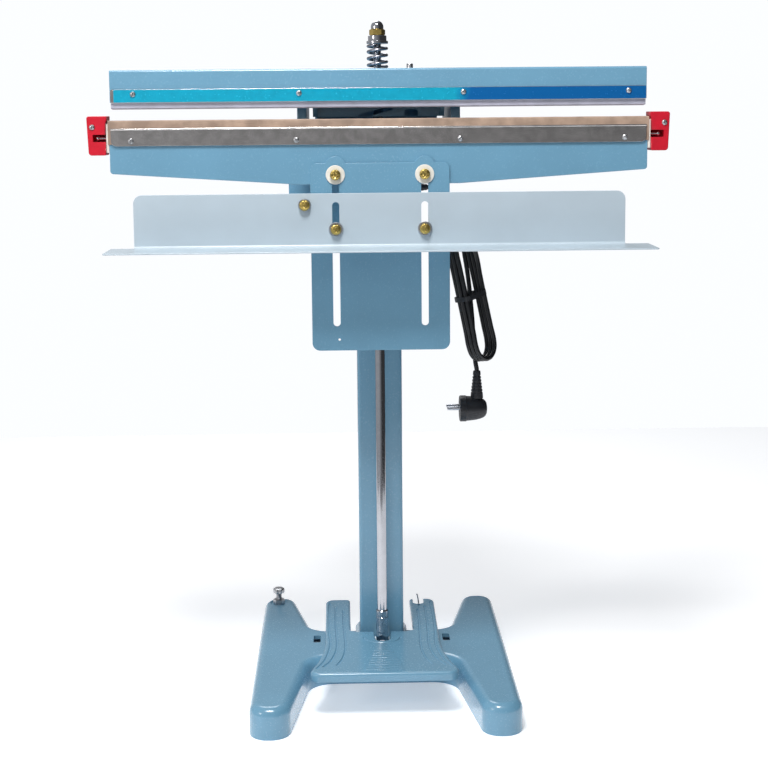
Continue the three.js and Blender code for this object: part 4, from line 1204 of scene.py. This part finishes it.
def cloth_sheet():
    """PTFE cloth drawn over the bed, faintly rippled where the strip doesn't press on it."""
    path = cloth_line()
    bm = bmesh.new()
    columns = []
    for i in range(241):
        x = -338.4 + 676.8 * i / 240
        column = []
        for y, z in path:
            ripple = 0.12 * math.sin(x / 17 + z * 0.21) + 0.08 * math.sin(x / 6.1 - z * 0.4)
            on_top = z > 760.5
            dy = 0 if on_top else ripple * (-0.5 if y < -84 else 0.5)
            dz = -abs(ripple) * 0.8 if on_top else 0
            column.append(bm.verts.new(Vector((x, y + dy, z + dz)) * MM))
        columns.append(column)
    for low, high in zip(columns, columns[1:]):
        for k in range(len(path) - 1):
            bm.faces.new((low[k], high[k], high[k + 1], low[k + 1]))
    cloth = piece_from(bm, "cloth_sheet", 60)
    modifier = cloth.modifiers.new("thickness", "SOLIDIFY")
    modifier.thickness = 0.18 * MM
    modifier.offset = 0
    baked(cloth)
    soften(cloth.data, 60)
    return cloth


def element_lead(name, points):
    """An insulated wire from a ribbon end to the control box."""
    return tube(name, catmull([Vector(p) for p in points], 10), 1.6, 14)


class BuildLowerJaw(bpy.types.Operator):
    """Lower jaw with its bed, ribbon, cloth, clamp strip, screws and leads"""

    bl_idname = "sealer.lower_jaw"
    bl_label = "Lower jaw"

    def execute(self, context):
        edge = size("panel_edge")
        face = rounded(mirrored([(100, 679.9), (337, 695.5, 4), (337, 750)]))
        jaw = slab("lower_jaw_body", "xz", face, -98, -92, edge)
        ribs = []
        rib = rounded([(-97, 702), (-90, 702), (-70, 730, 8), (-70, 749), (-97, 749)])
        for x in (-334, -225, -98, 98, 225, 334):
            ribs.append(slab("rib", "yz", rib, x - 3 + 0.02, x + 3 - 0.02, 0.3))
        join(jaw, block("top", (-336.9, 336.9), (-97.9, -70), (742, 749.95), 0.5), *ribs)
        cut(jaw, *[bar("cutter", "y", 4, (x, 0, 692), -120, -80, 0) for x in (-SLOT_X, SLOT_X)])
        place(jaw, "frame", material("enamel"), "enamel", "lower_jaw")
        bed = block("insulation_bed_body", (-336, 336), (-98, -70), (750.3, 760.1), 0.4)
        place(bed, "frame", material("laminate"), "laminate", "insulation_bed")
        ribbon = block("heating_ribbon", (-339, 339), (-92.5, -87.5), (760.4, 760.8), 0.1)
        place(ribbon, "frame", material("nichrome"), "nichrome", "heating_element")
        cloth = cloth_sheet()
        place(cloth, "frame", material("ptfe_cloth"), "ptfe_cloth", "ptfe_cloth")
        flat = sum((b - a).length for a, b in zip(cloth_line(), cloth_line()[1:])) * MM

        outline = rounded([(-335, 730, 7), (335, 730, 7), (335, 752), (-335, 752)])
        clamp = slab("lower_clamp_body", "xz", outline, -100.5, -99.3, 0.25)
        bead = bar("bead", "x", 1.3, (0, -100.6, 750.7), -335, 335, 0.3, 24)
        join(clamp, bead)
        place(clamp, "frame", material("stainless_strip"), "stainless_strip", "lower_clamp_strip")
        screws = strip_screws("lower_strip_screws", [(x, -100.4, 736) for x in (-310, -104, 101, 308)])
        place(screws, "frame", material("zinc_steel"), "zinc_steel")

        left = element_lead("element_lead_left_wire", [
            (-329, -90, 740), (-318, -84, 738), (-300, -72, 733), (-280, -63, 722), (-220, -60, 716),
            (-140, -60, 714), (-118, -50, 713), (-111, -20, 712), (-110, 50, 712), (-109, 88, 710),
            (-104, 106, 704), (-100, 110, 690)])
        right = element_lead("element_lead_right_wire", [
            (329, -90, 740), (318, -84, 738), (300, -72, 733), (280, -63, 722), (220, -60, 716),
            (140, -60, 714),
            (118, -50, 713), (111, -20, 712), (110, 50, 712), (108, 88, 711), (92, 107, 710), (50, 110, 709),
            (30, 110, 707), (21, 110, 702), (20, 110, 696), (20, 110, 690)])
        place(left, "frame", material("silicone_wire"), "silicone_wire", "element_lead_left")
        place(right, "frame", material("silicone_wire"), "silicone_wire", "element_lead_right")
        return {"FINISHED"}


class BuildEnds(bpy.types.Operator):
    """Red end blocks, white insulators and the ribbon's sprung pins"""

    bl_idname = "sealer.ends"
    bl_label = "End blocks"

    def execute(self, context):
        for name, side in (("left", -1), ("right", 1)):
            corners = [
                (341, 718.7, 2), (362.5, 718.7, 4), (364.5, 767.4, 3), (339.4, 767.4, 1), (339.4, 762.4),
                (340.8, 760)]
            outline = rounded([(side * u, v, *r) for u, v, *r in corners])
            body = slab(f"end_block_{name}_body", "xz", outline, -101, -74, 1.0)
            x = sorted((side * 330, side * 357))
            cut(body, block("cutter", x, (-120, -89.5), (735.5, 744.5), 0))
            place(body, "frame", material("red_plastic"), "red_plastic", f"end_block_{name}")
            x = sorted((side * 337.3, side * 340.7))
            insulator = block(f"end_insulator_{name}_body", x, (-98, -73), (722, 758), 0.4)
            cut(insulator, bar("cutter", "x", 2.6, (0, -94, 740), x[0] - 1, x[1] + 1, 0))
            place(insulator, "frame", material("white_insulator"), "white_insulator", f"end_insulator_{name}")
            pin = lathe(f"tension_pin_{name}_body", [
                (0, 0), (1.8, 0), (2, 0.3), (2, 11.5), (2.7, 12), (3.2, 13), (3.2, 14), (2.8, 15.1),
                (1.8, 15.9),
                (0, 16.2)], "x" if side > 0 else "-x", (side * 337.4, -94, 740), 32)
            place(pin, f"pin_{name}", material("chrome"), "chrome", f"tension_pin_{name}")
        screws = strip_screws("end_block_screws", [(x, -100.7, 753.8) for x in (-357.5, 357.5)])
        place(screws, "frame", material("zinc_steel"), "zinc_steel")
        return {"FINISHED"}


# ---------------------------------------------------------------- plate and work table


def slot_cutter(x, low, high, half=4.5):
    """A cutter for a round-ended upright slot in the plate or the table."""
    outline = rounded([
        (x - half, low, half - 0.05), (x + half, low, half - 0.05), (x + half, high, half - 0.05),
        (x - half, high, half - 0.05)])
    return slab("cutter", "xz", outline, -120, -90, 0)


class BuildPlate(bpy.types.Operator):
    """Slotted plate that carries the work table"""

    bl_idname = "sealer.plate"
    bl_label = "Slotted plate"

    def execute(self, context):
        outline = rounded([
            (-87.5, 469, 10), (87.5, 469, 10), (87.5, 706.5, 8), (-87.5, 706.5, 8)])
        plate = stack("slotted_plate_body", "xz", outline, edge_rings(-100.8, -98.3, 0.5, 3))
        bumps = [
            stack("bump", "xz", circle(13.5, x, 701.5, 64), edge_rings(-100.8, -98.3, 0.5, 3))
            for x in (-SLOT_X, SLOT_X)]
        join(plate, *bumps)
        cut(
            plate, slot_cutter(-SLOT_X, 500, 702), slot_cutter(SLOT_X, 500, 702),
            bar("cutter", "y", 1.6, (-53, 0, 483), -120, -90, 0, 24))
        place(plate, "frame", material("enamel"), "enamel", "slotted_plate")
        return {"FINISHED"}


class BuildTable(bpy.types.Operator):
    """Folded work table with its slots"""

    bl_idname = "sealer.table"
    bl_label = "Work table"

    def execute(self, context):
        fold = rounded([
            (-173, 600.6, 0.9), (-101.4, 600.6, 5), (-101.4, 640), (-103.4, 640), (-103.4, 602.6, 3),
            (-173, 602.6, 0.9)], 6)
        table = slab("work_table_body", "yz", fold, -309, 309, 0.3)
        flange = slab("flange", "xz", rounded([
            (-309, 608), (309, 608), (309, 669, 11), (-309, 669, 11)]), -103.4, -101.4, 0.5)
        shelf = slab("shelf", "xy", rectangle(-338, 338, -173, -107.4, 3), 600.6, 602.6, 0.8)
        join(table, flange, shelf)
        cut(
            table, slot_cutter(-SLOT_X, 620, 658), slot_cutter(SLOT_X, 620, 658),
            bar("cutter", "y", 3.8, (-95, 0, 654.5), -120, -90, 0))
        place(table, "table", material("sheet_paint"), "sheet_paint", "work_table")
        return {"FINISHED"}


def thumb_screw(name, centre, shank):
    """A knurled brass thumb screw, its head towards the operator."""
    profile = [
        (0, -shank), (3, -shank), (3.4, 0.4 - shank), (3.4, 1.7), (6.3, 1.7), (6.8, 2.1), (6.8, 5.3),
        (6.3, 5.9),
        (5.4, 6.6), (3, 6.95), (0, 7)]
    screw = lathe(
        name, profile, "-y", centre, 144, flutes=36, depth=size("knurl"), fluted=(4, 5, 6, 7))
    x, y, z = centre
    across = block("slot", (x - 3.2, x + 3.2), (y - 8, y - 5.6), (z - 0.6, z + 0.6), 0)
    upright = block("slot", (x - 0.6, x + 0.6), (y - 8, y - 5.6), (z - 3.2, z + 3.2), 0)
    return cut(screw, across, upright)


def washer(name, centre, radius):
    """A plain ring under a thumb screw."""
    return lathe(name, [
        (3.7, 0.3), (radius - 0.4, 0.3), (radius, 0.6), (radius, 1.2), (radius - 0.4, 1.6), (3.7, 1.6)],
        "-y", centre, ring=True)


class BuildScrews(bpy.types.Operator):
    """Brass thumb screws of the plate and the table, with their washers"""

    bl_idname = "sealer.thumb_screws"
    bl_label = "Thumb screws"

    def execute(self, context):
        for name, x in (("left", -SLOT_X), ("right", SLOT_X)):
            screw = thumb_screw(f"plate_screw_{name}_body", (x, -100.8, 692), 14)
            place(screw, "frame", material("brass"), "brass", f"plate_screw_{name}")
            ring = washer(f"plate_washer_{name}", (x, -100.8, 692), 12)
            place(ring, "frame", material("white_insulator"), "white_insulator")
            screw = thumb_screw(f"table_screw_{name}_body", (x, -103.4, 623.7), 13)
            nut = stack(
                "nut", "xz", circle(6.5, x, 623.7, 6),
                [(0.6, -98), (0, -97.4), (0, -94), (0.6, -93.4)])
            place(join(screw, nut), "table", material("brass"), "brass", f"table_screw_{name}")
            ring = washer(f"table_washer_{name}", (x, -103.4, 623.7), 9)
            place(ring, "table", material("zinc_steel"), "zinc_steel")
        screw = thumb_screw("guide_screw_body", (-95, -103.4, 654.5), 7)
        nut = stack(
            "nut", "xz", circle(6, -95, 654.5, 6),
            [(0.4, -101.1), (0, -100.7), (0, -97.8), (0.4, -97.4)])
        place(join(screw, nut), "table", material("brass"), "brass", "guide_screw")
        place(washer("guide_washer", (-95, -103.4, 654.5), 8), "table", material("zinc_steel"), "zinc_steel")
        return {"FINISHED"}


# ---------------------------------------------------------------- control box


class BuildBox(bpy.types.Operator):
    """Control box behind the column with its cover and screws"""

    bl_idname = "sealer.box"
    bl_label = "Control box"

    def execute(self, context):
        box = slab("control_box_body", "xz", rectangle(-121, 41, 600, 697, 4), 70.3, 150, 0.5)
        hollow = slab("cutter", "xz", rectangle(-119, 39, 602, 695, 3), 72.3, 160, 0)
        holes = [bar("cutter", "z", 5, (x, 110, 0), 690, 700, 0) for x in (-100, 20)]
        cut(box, hollow, bar("cutter", "x", 6, (0, *GLAND[1:]), 36, 46, 0), *holes)
        place(box, "frame", material("enamel"), "enamel", "control_box")
        cover = slab("control_cover_body", "xz", rectangle(-121, 41, 600, 697, 4), 150.3, COVER_REAR, 0.5)
        cut(
            cover, bar("cutter", "y", 3.8, (-84, 0, 652), 140, 160, 0),
            bar("cutter", "y", 4.3, (-48, 0, 672), 140, 160, 0),
            block("cutter", (-19, -5), (140, 160), (642, 662), 0))
        place(cover, "frame", material("sheet_paint"), "sheet_paint", "control_cover")
        head = lathe("head", [(0, -1), (2.8, -1), (3, -0.8), (3, 0.6), (2.4, 1.5), (1.2, 1.9), (0, 2)],
                     "y", (0, 0, 0), 32)
        slot = block("slot", (-4, 4), (1.1, 4), (-0.4, 0.4), 0)
        corners = [(x, COVER_REAR, z) for x in (-114, 34) for z in (607, 690)]
        screws = repeated("cover_screws", cut(head, slot), corners, material("zinc_steel"), math.pi, 5)
        place(screws, "frame", material("zinc_steel"), "zinc_steel")
        return {"FINISHED"}


class BuildControls(bpy.types.Operator):
    """Timer knob and its dial, power switch, lamp and what is inside the box"""

    bl_idname = "sealer.controls"
    bl_label = "Controls"

    def execute(self, context):
        knob_at = (-84, COVER_REAR, 652)
        knob = lathe("timer_knob_body", [
            (0, -16), (2.8, -16), (3, -15.6), (3, 0.3), (10.6, 0.3), (11, 0.7), (11, 1.6), (10.6, 2),
            (9.4, 2.8),
            (9.1, 4), (8.6, 12.6), (8.2, 13.4), (7.4, 13.9), (0, 14)],
            "y", knob_at, 144, flutes=24, depth=0.6, fluted=(9, 10, 11))
        place(knob, "knob", material("black_plastic"), "black_plastic", "timer_knob")
        mark = block("timer_mark", (-84.5, -83.5), (COVER_REAR + 13.6, COVER_REAR + 14.2), (654, 660), 0.2)
        place(mark, "knob", material("white_insulator"), "white_insulator")
        dot = lathe("dot", [(0, -0.4), (0.9, -0.4), (0.9, 0.15), (0.7, 0.3), (0, 0.3)], "y", (0, 0, 0), 20)
        dial = []
        for i in range(11):
            a = math.radians(90 + 27 * i)
            dial.append((-84 + 15 * math.cos(a), COVER_REAR, 652 + 15 * math.sin(a)))
        dots = repeated("timer_dial", dot, dial, material("black_plastic"))
        place(dots, "frame", material("black_plastic"), "black_plastic")

        housing = refined("switch_housing", 0.4)
        place(housing, "frame", material("black_plastic"), "black_plastic", "switch_housing")
        profile = [(-5, -3), (-1, -7.6), (2.2, -7.8), (2.6, 0), (4.8, 6.9), (-1, 7.6), (-5, 3)]
        rocker = slab("power_switch_body", "yz", [
            Vector((COVER_REAR + y, 652 + z)) for y, z in profile], -16.6, -7.4, 0.4)
        place(rocker, "rocker", material("red_plastic"), "red_plastic", "power_switch")
        lamp = lathe("indicator_lamp_body", [
            (0, -10), (3.7, -10), (3.9, -9.8), (3.9, 0.3), (5.2, 0.3), (5.5, 0.6), (5.5, 1.3), (5.2, 1.6),
            (4.4, 1.8), (4, 3), (3, 4.3), (1.5, 4.9), (0, 5)], "y", (-48, COVER_REAR, 672), 48)
        place(lamp, "frame", material("red_lamp"), "red_lamp", "indicator_lamp")
        for node, slot in (("transformer", "transformer_iron"), ("circuit_board", "circuit_board")):
            place(refined(node, 0.5), "frame", material(slot), slot, node)
        return {"FINISHED"}


# ---------------------------------------------------------------- add-on


STEPS = (
    BuildStage, BuildCord, BuildCasting, BuildColumn, BuildPedal, BuildPullRod, BuildHead, BuildArm,
    BuildUpperJaw, BuildLowerJaw, BuildEnds, BuildPlate, BuildTable, BuildScrews, BuildBox, BuildControls,
)


class SealerPanel(bpy.types.Panel):
    """The steps that build the sealer"""

    bl_idname = "VIEW3D_PT_sealer"
    bl_label = "Impulse sealer"
    bl_space_type = "VIEW_3D"
    bl_region_type = "UI"
    bl_category = "Sealer"

    def draw(self, context):
        for step in STEPS:
            self.layout.operator(step.bl_idname)


CLASSES = (SealerColours, SealerSizes, *STEPS, SealerPanel)


def register():
    for cls in CLASSES:
        bpy.utils.register_class(cls)
    bpy.types.Scene.sealer_colours = bpy.props.PointerProperty(type=SealerColours)
    bpy.types.Scene.sealer_sizes = bpy.props.PointerProperty(type=SealerSizes)


def unregister():
    del bpy.types.Scene.sealer_sizes
    del bpy.types.Scene.sealer_colours
    for cls in reversed(CLASSES):
        bpy.utils.unregister_class(cls)


def main():
    register()
    for step in STEPS:
        group, name = step.bl_idname.split(".")
        getattr(getattr(bpy.ops, group), name)()


if __name__ == "__main__":
    main()
